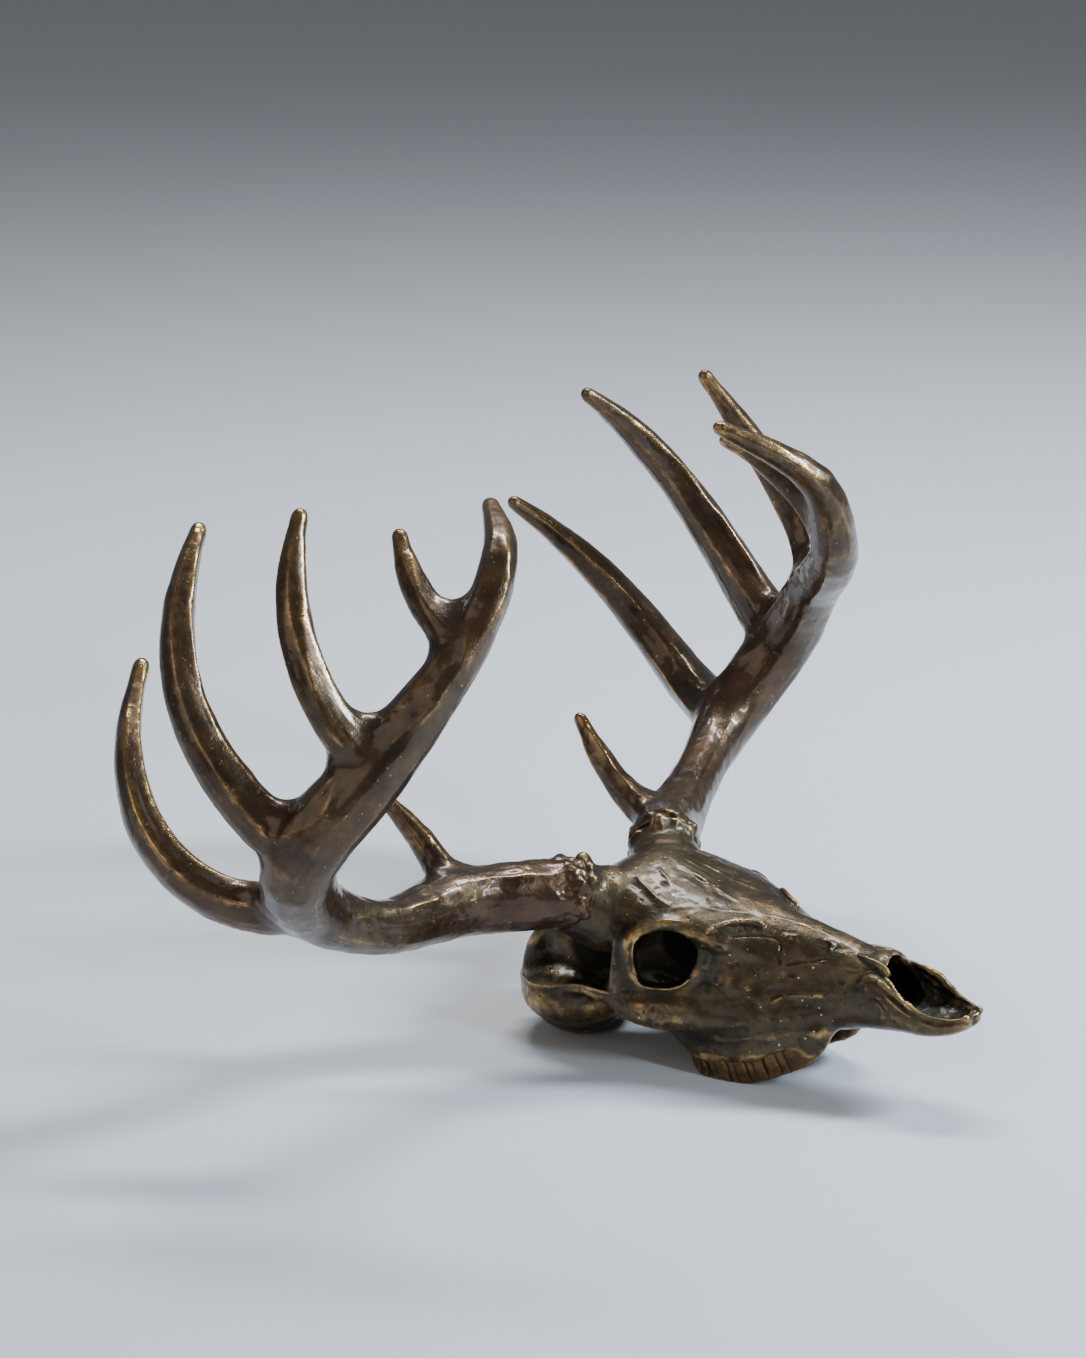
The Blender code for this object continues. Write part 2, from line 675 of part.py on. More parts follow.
def build_antler(side_name, collection, cutters):
    antler = antler_form(side_name, collection)
    fuse(antler, ANTLER_VOXEL, ANTLER_FILLET, 4)
    thin_out(antler, ANTLER_TRIANGLES)
    cut(antler, new_cutter(beyond_the_seat(SIDES[side_name], False), "burr_seat_" + side_name, cutters))
    cut(antler, antler_partings(side_name, cutters))
    antler_bronze = bronze("antler")
    for piece in name_pieces(loose_pieces(antler), antler_places(side_name)):
        finish(piece, antler_bronze)


def main():
    clear_scene()
    parts = new_collection("deer_skull_sculpture")
    cutters = new_collection("cutters")
    build_skull(parts, cutters)
    for side_name in SIDES:
        build_antler(side_name, parts, cutters)


main()
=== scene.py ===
"""Deer skull sculpture: the finished skins, bronze and light of a life-size cast.

The cast is a white-tailed deer's skull without its lower jaw, lying on its upper
teeth and the round base of its braincase, with two six-point antlers.

Places are in millimetres as (x, y, z): x runs forward from just ahead of the tip
of the snout, y runs out from the middle plane of the skull, and z is the height
above the floor. Each side of the skull mirrors the other, and a table that gives
one side holds for both.
"""

import itertools
import math
import random

import bmesh
import bpy
import numpy as np
from mathutils import Matrix, Vector


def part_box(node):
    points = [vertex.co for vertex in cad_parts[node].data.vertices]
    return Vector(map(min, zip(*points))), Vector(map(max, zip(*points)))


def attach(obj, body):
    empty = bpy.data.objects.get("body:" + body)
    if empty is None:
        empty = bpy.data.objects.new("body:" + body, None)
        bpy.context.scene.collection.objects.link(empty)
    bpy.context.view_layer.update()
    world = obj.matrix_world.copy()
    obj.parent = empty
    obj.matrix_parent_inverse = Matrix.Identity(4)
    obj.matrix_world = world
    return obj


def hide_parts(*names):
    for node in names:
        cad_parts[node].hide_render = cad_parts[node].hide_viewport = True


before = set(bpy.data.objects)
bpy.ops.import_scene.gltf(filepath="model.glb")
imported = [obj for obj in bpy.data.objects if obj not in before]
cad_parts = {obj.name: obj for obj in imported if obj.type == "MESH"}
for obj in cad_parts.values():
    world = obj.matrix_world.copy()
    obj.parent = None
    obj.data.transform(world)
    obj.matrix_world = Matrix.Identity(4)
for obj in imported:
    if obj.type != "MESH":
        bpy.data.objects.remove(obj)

bl_info = {
    "name": "Deer Skull Sculpture",
    "version": (1, 0, 0),
    "blender": (4, 5, 0),
    "location": "3D View > Sidebar > Deer Skull",
    "description": "Builds the skins, bronze and light of a cast deer skull with its antlers",
    "category": "Object",
}

MM = 0.001
SIDES = {"right": -1, "left": 1}
TIP_OF_SNOUT = -2.4       # where the snout ends in the tables below
SNOUT_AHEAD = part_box("muzzle")[1][0] / MM - TIP_OF_SNOUT

# --- forms of the skull ---------------------------------------------------------------

BRAINCASE = ((-243, 0, 48), (42, 35.5, 46))
EYE_SOCKET = (-173, 49, 70)
SOCKET_DEPTH = 34.0
SOCKET_TURN = 24.0        # degrees that an eye socket faces forward
# Outline of the opening round the middle of the socket, forward and up, and the crest
# of the rim from above its front, over the top and down its back.
SOCKET_OPENING = ((18.4, 2.9), (15.8, 9.4), (9.7, 13.8), (2.3, 15.6), (-5, 15), (-12.2, 12.4), (-16.9, 7.5),
                  (-17.8, -0.6), (-16.4, -9.6), (-13.5, -16.6), (-5.5, -18.4), (4.5, -17.8), (12, -13.6),
                  (16.4, -5.4))
SOCKET_CREST = ((21, 16.2), (15.7, 19.2), (8.3, 21.6), (-0.2, 21.8), (-8.7, 18.7), (-17, 13.7), (-21.6, 8),
                (-22.4, 0.3), (-21.2, -7.4), (-18.3, -15), (-14.5, -19.2))
# The part of the opening's outline, counted in points, that has a crisp edge.
INNER_EDGE = (5.4, 12.4)
OUTLINE_STEPS = 5         # points that are laid from each point of the opening to the next
# Bars along the opening or the crest: radius, how much wider they run, and how far out.
# The radius of CREST_BAR is one of the sizes that a user may change.
SOCKET_WALL = (4.2, 1.17, -3.8)
INNER_EDGE_BAR = (0.9, 1.03, 0.8)
CREST_BAR = (0.93, -1.0)
CREST_EDGE_BAR = (0.9, 1.0, 0.2)
SOCKET_MIDDLE = 6.0       # how far out the room behind the opening is widest
# Where a socket is painted black: place in it as (along, up, out), and radii.
SOCKET_SHADE = ((0, -1.5, -14), (20.5, 16, 20.5))

# x, half width, top, widest height, bottom, squareness above, squareness below
CORE = (
    (-234, 30, 98, 66, 28, 2.0, 2.0),
    (-217, 28, 109, 70, 32, 2.0, 2.0),
    (-200, 24, 111, 74, 38, 2.0, 2.0),
    (-185, 24, 108, 74, 40, 2.0, 2.0),
    (-170, 29, 103, 70, 36, 2.0, 2.2),
    (-156, 37, 99, 62, 29, 2.0, 2.4),
    (-140, 39, 96, 56, 27, 1.9, 2.6),
    (-125, 35, 93, 54, 27, 1.8, 2.6),
    (-110, 30, 90, 54, 28, 1.8, 2.6),
    (-95, 26, 87, 54, 30, 1.9, 2.6),
    (-80, 22, 83, 56, 33, 2.1, 2.6),
    (-66, 20, 79, 58, 37, 2.3, 2.6),
    (-57, 19, 77, 58, 40, 2.5, 2.6),
)
ROOF = (
    (-236, 30, 99, 88, 78, 2.2, 2.0),
    (-222, 40, 108.5, 89, 79, 1.9, 2.0),
    (-207, 49, 113, 89, 80, 1.6, 2.0),
    (-190, 51, 110, 88, 79, 1.6, 2.0),
    (-175, 49, 105, 88, 78, 1.8, 2.0),
    (-160, 46, 100, 86, 74, 1.9, 2.0),
    (-146, 42, 97, 82, 66, 1.8, 2.0),
    (-132, 35, 94, 76, 60, 1.8, 2.0),
    (-118, 28, 91, 70, 58, 1.8, 2.0),
)
SNOUT = (
    (-78, 20, 79, 57, 34, 2.4, 2.8),
    (-60, 20, 76, 58, 38, 2.8, 2.8),
    (-50, 20.5, 72, 57, 40, 3.2, 2.8),
    (-41, 20.5, 67.5, 55, 41, 3.6, 2.8),
    (-32, 19.8, 62, 53, 41, 3.6, 2.8),
    (-23, 18, 57.5, 51, 42, 3.4, 2.8),
    (-14, 15.5, 56, 52, 44.5, 3.0, 2.8),
    (-8, 12.5, 56.5, 52.5, 47, 2.8, 2.6),
    (-4.5, 9, 57, 53, 49, 2.6, 2.4),
    (-3, 5, 56, 53, 51, 2.2, 2.2),
)

# Rounded bars of bone on each side: point and radius.
BARS = {
    "cheek": (((-202, 54, 42), 7), ((-190, 52, 38), 9.5), ((-176, 47, 37), 11), ((-160, 39, 37), 12),
              ((-146, 33.2, 36.5), 12), ((-128, 29.4, 37), 11.4), ((-110, 25.6, 40), 9.6),
              ((-94, 20.8, 44), 8), ((-76, 16, 48), 5)),
    "wall under the crest": (((-158, 37, 46.5), 6.5), ((-147, 34.5, 46.5), 7.8), ((-135, 31, 46), 8),
                             ((-122, 28.6, 45.6), 7.8), ((-106, 24.4, 49), 6.8), ((-90, 19.6, 52), 6),
                             ((-74, 16.4, 54.6), 5)),
    "cheek arch": (((-198, 55, 43), 6), ((-210, 56, 42.5), 4.5), ((-221, 55, 43), 4), ((-234, 52, 41), 4.2),
                   ((-247, 47.5, 36.5), 4.5), ((-260, 43, 32.5), 4.5), ((-271, 37, 30.5), 4.5),
                   ((-279, 28, 31), 4.5)),
    "bar behind the eye": (((-200, 44, 82), 5.4), ((-200, 50.6, 76), 5), ((-199.5, 53.4, 64), 4.8),
                           ((-199.5, 54.6, 48), 6)),
    "tooth sockets": (((-158, 32, 25), 9.5), ((-145, 31.5, 26), 10.5), ((-130, 30, 28), 10.5),
                      ((-115, 28, 31), 10), ((-100, 24, 34), 8.5), ((-88, 20, 36), 7.5)),
    "gum": (((-182, 44, 38), 8), ((-172, 39.5, 32), 8.5), ((-163, 36, 24), 8.4), ((-155, 33.8, 18.4), 7.6),
            ((-147, 33.4, 17.6), 7.6), ((-136, 32.6, 19), 7.8), ((-124, 31, 22), 7.6),
            ((-114, 28.8, 25.5), 7.2), ((-103, 26, 29), 6.6), ((-93, 23.5, 30), 6), ((-86, 21, 33), 5)),
    "edge of the gum": (((-167, 38, 21.4), 5), ((-160, 37, 15.2), 4.8), ((-153, 37.7, 13.2), 4.8),
                        ((-146, 37.8, 13.6), 4.8), ((-135, 36.6, 15.4), 4.8), ((-123, 34.8, 18.2), 4.8),
                        ((-114, 32.6, 22.2), 4.6), ((-106, 30, 26.6), 4.4), ((-98.5, 28, 26), 4.4),
                        ((-93, 26.4, 22), 4.0), ((-89.5, 24.6, 22.6), 3.6), ((-85, 22, 29), 3.2)),
    "neck crest": (((-276, 30, 34), 5), ((-274, 30, 48), 4.5), ((-266, 31, 62), 4.5), ((-263, 24, 74), 4),
                   ((-264, 12, 80), 4), ((-265, 0, 82), 4.5)),
    "wing of the palate": (((-160, 17, 30), 5), ((-176, 14, 30), 3.5), ((-190, 13, 34), 3.5),
                           ((-204, 12, 42), 5)),
    "pedicle": (((-221, 32, 84), 25), ((-238, 54, 95), 18.5)),
}

# Thin bars that are laid on the fused skin, and keep crisp.
TRIM = {
    "tear arch": (((-150, 41.6, 87.4), 1.0), ((-144.5, 33.8, 90.8), 1.4), ((-138, 26.4, 91.6), 1.6),
                  ((-131, 20.8, 90.8), 1.8), ((-127.5, 19.2, 89.2), 1.9)),
    "tip of nose bone": (((-72, 8, 79.0), 1.4), ((-64, 9.5, 78.2), 2.0), ((-57, 10.4, 76.4), 2.3),
                         ((-52, 10.6, 73.2), 1.7)),
    "top of jaw tip": (((-70, 18.8, 64.5), 0.9), ((-65.5, 18.2, 68), 1.3), ((-61, 16.8, 70.6), 1.8),
                       ((-57, 16.4, 70.8), 1.7)),
    "rim of the nose": (((-54, 17.2, 70), 1.6), ((-44, 18.4, 65), 1.4), ((-34, 18.4, 59.6), 1.4),
                        ((-23.5, 16.4, 55.9), 1.4), ((-14, 13.4, 54.9), 1.5), ((-8.5, 10.4, 55.4), 1.6),
                        ((-5.2, 8.0, 56.4), 2.5)),
    "lip of the cheek arch": (((-276, 38, 33.6), 1.2), ((-262, 49.6, 35.4), 1.5), ((-250, 52.4, 37.4), 1.5),
                              ((-235.5, 54.8, 41.8), 1.5), ((-223, 57.2, 45), 1.4), ((-211, 59, 45.4), 1.4),
                              ((-203, 60, 45.4), 1.2)),
}
# The left rim of the nose stands higher than the right one.
LEFT_NOSE_RIM = (
    (((-60, 13, 72.4), 1.5), ((-52, 15.4, 71.4), 1.8), ((-44, 16.6, 69.8), 1.8), ((-36, 16.8, 66.4), 1.8),
     ((-28, 16.4, 61.6), 1.8), ((-21, 15.2, 58.4), 1.7), ((-14, 13, 56.6), 1.5), ((-8, 10, 56), 1.3)),
    (((-56, 16.2, 69), 2.0), ((-46, 17.4, 67), 2.2), ((-38, 17.6, 63.6), 2.3), ((-30, 17.2, 59.2), 2.0),
     ((-22, 15.8, 56), 1.4)),
)
# Patches on the right side where rough wax was left: centre, radii, height.
ROUGH_PATCHES = (
    ((-88, -11.5, 82), (12, 6, 5), 1.5),
    ((-110, -17, 84), (8, 5, 4), 1.1),
    ((-151, -42, 70), (5, 5, 15), 0.9),
    ((-63, -18, 66), (5, 4, 6), 1.0),
)
BASE_SWELLINGS = (((-247, 28, 28), (32, 28, 19.5)), ((-251, 21, 23), (31, 21, 23.5)))
CONDYLE = ((-279, 11, 30), (8, 7, 10))
END_OF_NOSE_BONES = ((-57, 0, 77.5), (9, 10, 2.4), (0, 14, 0))
NOSE_OPENING = ((-34, 0, 66), (28, 17.5, 15.5), (9, 14, 0))
NOSE_PASSAGE = ((-62, 0, 62.5), (30, 16.4, 12), (0, 7, 0))
SPINE_OPENING = ((-290, 0, 33), (20, 9, 9), (0, 0, 0))
# Where each temple is painted dark, as painted shade over its dark patina, without a cut: centre, radii and
# turn.
TEMPLE_SHADE = ((-222, 50, 62), (25, 26, 20), (0, 0, 0))

# Marks of the modelling tool on each side: width, height (below zero is cut in), line.
MARKS = (
    (1.0, 0.6, ((-206, 28.4, 106.7), (-196.5, 33.3, 103.5), (-183.6, 38.5, 99.3), (-173.8, 40.5, 97))),
    (2.6, -0.8, ((-209, 32, 106), (-198, 37, 102), (-186, 42, 98), (-178, 45, 95))),
    (1.0, 0.7, ((-195.2, 5.7, 111.2), (-180.8, 7.9, 107.1), (-167.4, 8.7, 102.6), (-155.6, 10.5, 98.9),
                (-145.1, 12.1, 96.4))),
    (2.6, -0.7, ((-194, 9.5, 110.6), (-180, 11.7, 106.4), (-166, 12.6, 102), (-153, 14, 98.2))),
    (1.0, 0.5, ((-204, 13, 110), (-193, 20, 107.5), (-181, 25, 104))),
    (1.4, 0.5, ((-179.1, 49.2, 95.7), (-169.2, 37.5, 97), (-157, 29.5, 96), (-141.8, 19.4, 94.1),
                (-123.6, 9, 92.1), (-104, 5.5, 89), (-84, 4.5, 84.5))),
    (0.8, -0.9, ((-140, 40.2, 84.1), (-135.8, 33.1, 85.1), (-127.3, 26.1, 85), (-118.8, 20.8, 83.8),
                 (-114.5, 19.8, 81.4))),
    (0.7, 0.45, ((-139, 39.4, 86), (-135, 32.4, 87), (-126.8, 25.6, 86.8), (-118, 20.4, 85.6))),
    (0.8, -0.9, ((-114.5, 19.8, 81.4), (-113.4, 24.4, 75.4), (-111.5, 26.8, 70.4))),
    (0.6, -0.8, ((-129.7, 38.8, 76.9), (-127.6, 33.9, 69.6), (-120.8, 32.9, 62.6))),
    (0.7, 0.4, ((-131, 38.4, 76.9), (-128.9, 34.6, 69.6), (-122.1, 33.4, 61.8))),
    (0.6, -0.9, ((-111, 26.3, 70.7), (-102, 22.5, 73.7), (-90.9, 18.5, 75.7), (-85.5, 15.5, 78))),
    (0.7, 0.35, ((-110, 27, 72.3), (-101, 22.3, 75.3), (-91, 17.6, 77.1))),
    (1.7, 0.9, ((-134, 38.6, 54.4), (-124.1, 35.8, 50.1), (-114.9, 33.6, 49.8), (-105.9, 29.6, 54.3),
                (-95.2, 26.6, 56.1), (-82.7, 23.2, 58), (-71.7, 21.1, 60.2))),
    (3.4, -0.7, ((-132, 38, 47), (-122, 36, 43.4), (-112, 33, 44), (-98, 27.5, 49.5), (-80, 23, 52))),
    (4.0, -0.8, ((-136, 40, 61), (-124, 36.4, 58), (-114, 33.2, 58), (-104, 29.2, 62))),
    (0.8, -0.6, ((-155.4, 45.5, 57.7), (-149.4, 41.2, 54.7), (-138.2, 38.9, 59.3))),
    (0.8, 0.35, ((-148.1, 42.6, 25.1), (-136.3, 41.1, 24.4), (-124.4, 40, 28.7), (-113.2, 37.7, 33.3))),
    (0.9, -0.35, ((-146, 42.6, 28.1), (-134.3, 41.1, 27), (-123, 40, 31.4), (-112, 37.7, 36))),
    (0.8, 0.6, ((-160, 41, 13), (-153, 41.6, 12), (-146, 41.4, 12.4), (-135, 40.6, 13.8), (-123, 38.6, 16.6),
                (-114, 36.4, 20.8), (-106, 34, 24), (-98.5, 32.4, 23.2), (-93, 30.2, 18.8),
                (-88.6, 28, 19.2))),
    (0.7, 0.3, ((-155, 42.6, 31), (-147, 42.1, 34.4), (-139, 41, 33))),
    (0.7, -0.7, ((-62, 20.6, 61), (-53.7, 20.6, 60.1), (-49.5, 20.8, 57.2), (-45.3, 20.9, 51))),
    (1.0, 0.6, ((-52, 19.8, 66), (-43.8, 20.4, 61), (-34.3, 20.4, 55.4), (-23.4, 18.4, 51.9),
                (-12, 14.6, 50.6))),
    (0.9, -0.7, ((-53, 18.8, 68), (-43.8, 20, 63.2), (-34.3, 20, 57.6), (-23.4, 18, 53.9),
                 (-12, 14.2, 52.6))),
    (0.8, -0.8, ((-54.9, 7.9, 78.6), (-60.4, 12.6, 75.1), (-68, 15.6, 72.7), (-80, 17.4, 72))),
    (0.8, -0.35, ((-62, 0, 81), (-90, 0, 88), (-120, 0, 94), (-150, 0, 99))),
    (1.0, -0.5, ((-150, 0, 99), (-175, 0, 106), (-200, 0, 112), (-225, 0, 106), (-245, 0, 96))),
    (1.6, 0.7, ((-228, 24, 98), (-240, 18, 92), (-252, 14, 88), (-262, 10, 83))),
    (2.4, -1.2, ((-262, 47, 38.6), (-250, 50, 41.4), (-235, 53, 46), (-222, 56, 49))),
    (0.9, -0.5, ((-193.6, 59.6, 46.3), (-188.4, 61, 40), (-180.7, 59.5, 35.3))),
)
# Small holes and dents on each side: centre, radius, depth.
DENTS = (
    ((-145.2, 45.5, 85.1), 1.4, 1.2), ((-141.4, 45.5, 81.7), 1.5, 1.3), ((-150.3, 43.7, 73.8), 1.5, 1.5),
    ((-148.8, 42.6, 66), 1.3, 1.2), ((-150.6, 42.8, 57.9), 1.6, 1.3), ((-146, 40, 59.9), 1.2, 1),
    ((-143, 41, 78), 2.2, 1.4), ((-120, 31, 60.5), 1.7, 0.9), ((-104, 26, 66), 1.6, 0.8),
    ((-88, 23, 50), 1.8, 0.9), ((-187, 27, 105.5), 1.8, 1.4), ((-222, 21, 103), 1.6, 0.8),
    ((-92, 20, 78), 1.5, 0.9), ((-76, 21, 66), 1.5, 0.9), ((-126, 14, 92), 1.2, 0.6),
    ((-1.5, 0, 57), 3.4, 3), ((-3, 0, 51), 2.6, 1.6), ((-112, 8, 91), 1.3, 0.5),
    ((-160, 22, 99.5), 1.5, 0.7), ((-250, 30, 62), 3, 0.9),
)
# The plate of thin bone before the eye lies a little under the rest.
SUNKEN_PLATE = ((-127, 34, 71), (21, 20, 14.5), 1.6)

# Each row of upper teeth, back to front: x, y, lowest point and width.
TOOTH_ROW = (
    (-158.6, 34.2, 5.0, 13),
    (-153.4, 34.2, -0.2, 15),
    (-146, 34.1, -1.2, 15.4),
    (-139.2, 33.8, -1.4, 15.4),
    (-125.6, 32, -0.8, 15),
    (-113.2, 29.8, 3.6, 14.2),
    (-103.4, 27.4, 8.6, 13),
    (-96, 25.6, 12.8, 11.8),
    (-91, 24.2, 16.4, 9),
)
# The crowns are swept from a ball, with half its length, its share of the width and half its
# height, and a block, with its length, share of the width, height and height above the tips.
CROWN_BALL = (3.4, 0.47, 10.5)
CROWN_BLOCK = (2.6, 0.84, 15.0, 1.5)
# Leaning grooves across the row, between two teeth and within one: x at the floor, half
# width and depth.
TOOTH_GROOVES = (
    (-150, 0.7, 0.6), (-145.4, 0.9, 1.0), (-140.6, 0.6, 0.5), (-132.6, 0.9, 1.2), (-128.4, 0.6, 0.5),
    (-120, 0.9, 1.2), (-115.4, 0.6, 0.6), (-108.6, 0.9, 1.0), (-100.2, 0.8, 0.9), (-94.6, 0.6, 0.5),
)
GROOVE_LEAN = 0.45        # how far a groove leans back for each millimetre up

# --- forms of the antlers -------------------------------------------------------------

BURR_CENTRE = (-237.0, 54.0, 97.4)
BURR_AXIS = (-0.50, 0.85, 0.12)
BURR_RADII = (20.2, 20.2, 8.5)
BURR_CORE = (15, 15, 15)
BURR_SEAT = 7.5           # how far below its centre the burr is flat
# Rows of nodules round the burr: how far along its axis, radius of the row, nodules.
# The collar is the row below the seat, on the skull's own skin.
BURR_ROWS = ((-5.4, 17.8, 11), (-1.4, 18.8, 12), (3.2, 17.0, 10))
COLLAR_ROWS = ((-10.5, 17.8, 10),)
NODULE_SIZES = (2.6, 4.6)
TINE_ROOTS = {"brow_tine": 1, "second_tine": 3, "third_tine": 4, "fourth_tine": 5, "fifth_tine": 6}
ANTLER_POINTS = {
    "right": {
        "beam": ((-237, 54, 98), (-275, 104, 99), (-282, 168, 103), (-292, 219, 129), (-272, 250, 170),
                 (-237, 231, 220), (-209, 190, 279), (-209, 159, 319), (-244, 117, 337)),
        "brow_tine": ((-291, 95, 111), (-308, 92, 131), (-335, 101, 154)),
        "second_tine": ((-350, 261, 116), (-395, 275, 183), (-428, 187, 237)),
        "third_tine": ((-331, 276, 218), (-357, 266, 268), (-380, 193, 322)),
        "fourth_tine": ((-254, 256, 243), (-291, 249, 292), (-302, 206, 342)),
        "fifth_tine": ((-228, 192, 287), (-249, 185, 302), (-267, 168, 327)),
    },
    "left": {
        "beam": ((-237, 54, 98), (-263, 104, 87), (-281, 169, 102), (-290, 219, 122), (-270, 252, 168),
                 (-237, 231, 213), (-201, 190, 251), (-200, 159, 301), (-245, 117, 336)),
        "brow_tine": ((-291, 92, 102), (-309, 94, 125), (-327, 101, 147)),
        "second_tine": ((-352, 259, 117), (-389, 275, 181), (-438, 187, 252)),
        "third_tine": ((-331, 270, 216), (-352, 267, 270), (-385, 193, 327)),
        "fourth_tine": ((-250, 257, 243), (-287, 246, 290), (-306, 207, 345)),
        "fifth_tine": ((-221, 193, 285), (-243, 184, 301), (-267, 168, 315)),
    },
}
ANTLER_RADII = {
    "right": {
        "beam": (19.0, 18.5, 14.5, 18.5, 20.0, 18.0, 11.5, 9.5, 3.6),
        "brow_tine": (13.0, 9.5, 7.5, 5.8, 3.4),
        "second_tine": (15.0, 12.0, 11.0, 9.4, 6.8, 3.4),
        "third_tine": (14.5, 12.0, 10.4, 9.4, 7.6, 3.6),
        "fourth_tine": (14.0, 11.0, 9.8, 8.0, 3.4),
        "fifth_tine": (11.0, 8.2, 7.0, 3.2),
    },
    "left": {
        "beam": (19.0, 18.0, 14.5, 18.5, 19.5, 16.0, 14.0, 9.5, 3.6),
        "brow_tine": (13.0, 9.8, 7.8, 6.0, 3.4),
        "second_tine": (17.0, 14.8, 13.0, 11.2, 8.4, 3.6),
        "third_tine": (16.0, 13.8, 12.4, 10.6, 8.4, 3.6),
        "fourth_tine": (13.5, 10.4, 9.6, 7.8, 3.4),
        "fifth_tine": (11.0, 9.0, 7.4, 3.2),
    },
}
ANTLER_PIECES = ("beam_base", "beam_lower", "beam_fork", "beam_middle", "beam_top", *TINE_ROOTS)
BLUNT_TIP = 4.3           # least radius of an antler's bars
WEB = 9.5                 # how far the forks are filled
FORK_FADE = (0.5, 9.0)    # over how much of the gap between two bars their facets come in
TIP_FADE = (2.0, 16.0)    # over how much of a bar, from its tip, its facets come in
SMOOTH_BEAM = (60, 130)   # from where to where along a beam its rough base gives way
BURR_REACH = (20, 26)     # from where to where, off its centre, the burr gives way
MEAN_FACET = 0.16         # how far the facets lie in on the whole, as faceted() gives it
# Degrees round each bar where an edge runs along it, and how flat the sides between are.
EDGES = {
    "right": {
        "beam": ((20, 62, 120, 205, 300), 0.30),
        "brow_tine": ((10, 95, 170, 260, 320), 0.38),
        "second_tine": ((60, 150, 210, 262, 324), 0.50),
        "third_tine": ((40, 110, 190, 264, 330), 0.50),
        "fourth_tine": ((50, 130, 215, 290, 350), 0.45),
        "fifth_tine": ((30, 140, 230, 310), 0.40),
    },
    "left": {
        "beam": ((0, 75, 150, 225, 300), 0.30),
        "brow_tine": ((40, 130, 220, 310), 0.38),
        "second_tine": ((30, 100, 170, 237, 310), 0.50),
        "third_tine": ((30, 110, 191, 255, 320), 0.50),
        "fourth_tine": ((0, 80, 185, 280), 0.42),
        "fifth_tine": ((30, 140, 230, 310), 0.40),
    },
}
# Sharp ridges that run along the antlers.
RIDGES = {
    "right": (
        ((-301, 207, 338), (-285.5, 227.5, 314.2), (-279.2, 236.7, 302.6), (-267.4, 249.7, 278.5),
         (-256.8, 254.6, 256.1), (-245.9, 252.8, 238.2), (-235.3, 248.2, 229.7), (-221.1, 236.8, 237.6),
         (-210.4, 221.6, 251.8), (-203.8, 207.7, 267.6), (-203.1, 197.6, 285.3), (-207.2, 191.6, 295.9)),
        ((-376, 200, 320), (-373.6, 204.9, 317.1), (-364.1, 222, 301.6), (-353.4, 238.3, 284.5),
         (-342.8, 249.9, 266.6), (-328.5, 256.3, 244.6), (-312.5, 258.5, 223.7), (-294.1, 257, 206.1),
         (-281.1, 253.9, 197.2)),
        ((-425, 190, 237), (-422.4, 194.3, 234.7), (-410.9, 213.5, 220), (-400.1, 228.4, 206.3),
         (-385.6, 241, 189.1), (-368.6, 248.8, 171.2), (-348, 248.6, 154), (-327, 243.5, 143.1),
         (-311.6, 239.8, 141.2)),
        ((-413.6, 218.3, 220.7), (-399.7, 239.4, 201.5), (-383.8, 253.8, 181.4), (-366.3, 259.9, 163.3),
         (-348.5, 259.6, 149.4)),
        ((-284.3, 267.2, 192.2), (-280.8, 268, 183.8), (-263.9, 268, 188.9), (-249.9, 263.3, 197.5),
         (-245.5, 254, 217.8), (-243.6, 252.1, 232.2)),
        ((-257.9, 171.7, 322.5), (-245.1, 184.9, 310.7), (-234.4, 193, 299.4), (-223.5, 197.7, 289.4),
         (-214.8, 202.8, 281)),
        ((-220.4, 144.4, 334.8), (-201.6, 164.7, 323.4), (-196, 171.8, 311.3), (-195.7, 182.2, 297.3),
         (-199.1, 194.7, 283.4), (-202.2, 205.8, 267.4)),
        ((-274.1, 205.9, 121), (-272.8, 186.2, 117.2), (-270.7, 151.3, 111.6), (-267.6, 129.7, 110.8)),
    ),
    "left": (
        ((-430.2, 192.3, 247.6), (-417.8, 210.7, 233.2), (-407, 219.5, 218.7), (-394.9, 229.3, 202.3),
         (-382.1, 238.3, 187.9), (-368.2, 242.4, 171.1), (-351.3, 241.6, 154.2), (-331.6, 232.6, 139.8)),
        ((-375.1, 203.5, 319.8), (-359.3, 226, 297), (-345.6, 243, 276.5), (-333.4, 256.1, 257.4),
         (-318.4, 258.1, 236.9), (-302.6, 258.6, 217.9), (-287.9, 257.3, 202.8)),
        ((-249.8, 236, 249.1), (-245.1, 225.2, 228.1), (-246.8, 219.1, 205.3), (-271.4, 233.1, 174),
         (-292.9, 224, 151.7), (-305.5, 219.1, 136.7), (-297.6, 196.3, 126.2)),
        ((-237.5, 118.2, 333.2), (-222.9, 130.6, 327.9), (-207.2, 141.4, 318.2), (-194.5, 151.3, 303.4),
         (-188.4, 160.6, 286.2)),
        ((-320.1, 97.3, 144.4), (-308.5, 94.4, 133.5), (-295, 91.4, 119.7), (-281.4, 91.2, 108.6)),
    ),
}
RIDGE_WIDTH = 5.6
RIDGE_HEIGHT = 1.3

# --- unevenness of the hand-modelled wax ----------------------------------------------

# Layers of soft noise: height, size of its lumps and seed.
SKULL_LUMPS = ((0.45, 15, 1), (0.24, 7.5, 2), (0.12, 3.3, 3), (0.06, 1.7, 4))
ROUGH_WAX = ((1.0, 4.2, 9), (0.6, 2.1, 10))
NOSE_LUMPS = ((1.3, 7, 7), (0.7, 3.5, 8))
TOOTH_LUMPS = ((0.40, 6, 11), (0.20, 2.4, 12))
ANTLER_LUMPS = ((0.26, 16, 51), (0.16, 7, 60), (0.09, 4, 52), (0.03, 2, 53))
BURR_LUMPS = ((0.35, 2.8, 56), (0.15, 1.5, 57))
FURROWS = ((0.22, 3.4, 40), (0.12, 1.7, 41))
# How a mark's depth varies along it: mean, swing, size and seed of the noise, least and most.
UNEVEN_STROKE = (0.62, 0.9, 5.5, 71, 0, 1.2)
UNEVEN_RIDGE = (0.7, 0.8, 16, 72, 0.1, 1.3)
UNEVEN_GROOVE = (0.8, 0.7, 5, 16, 0.2, 1.3)
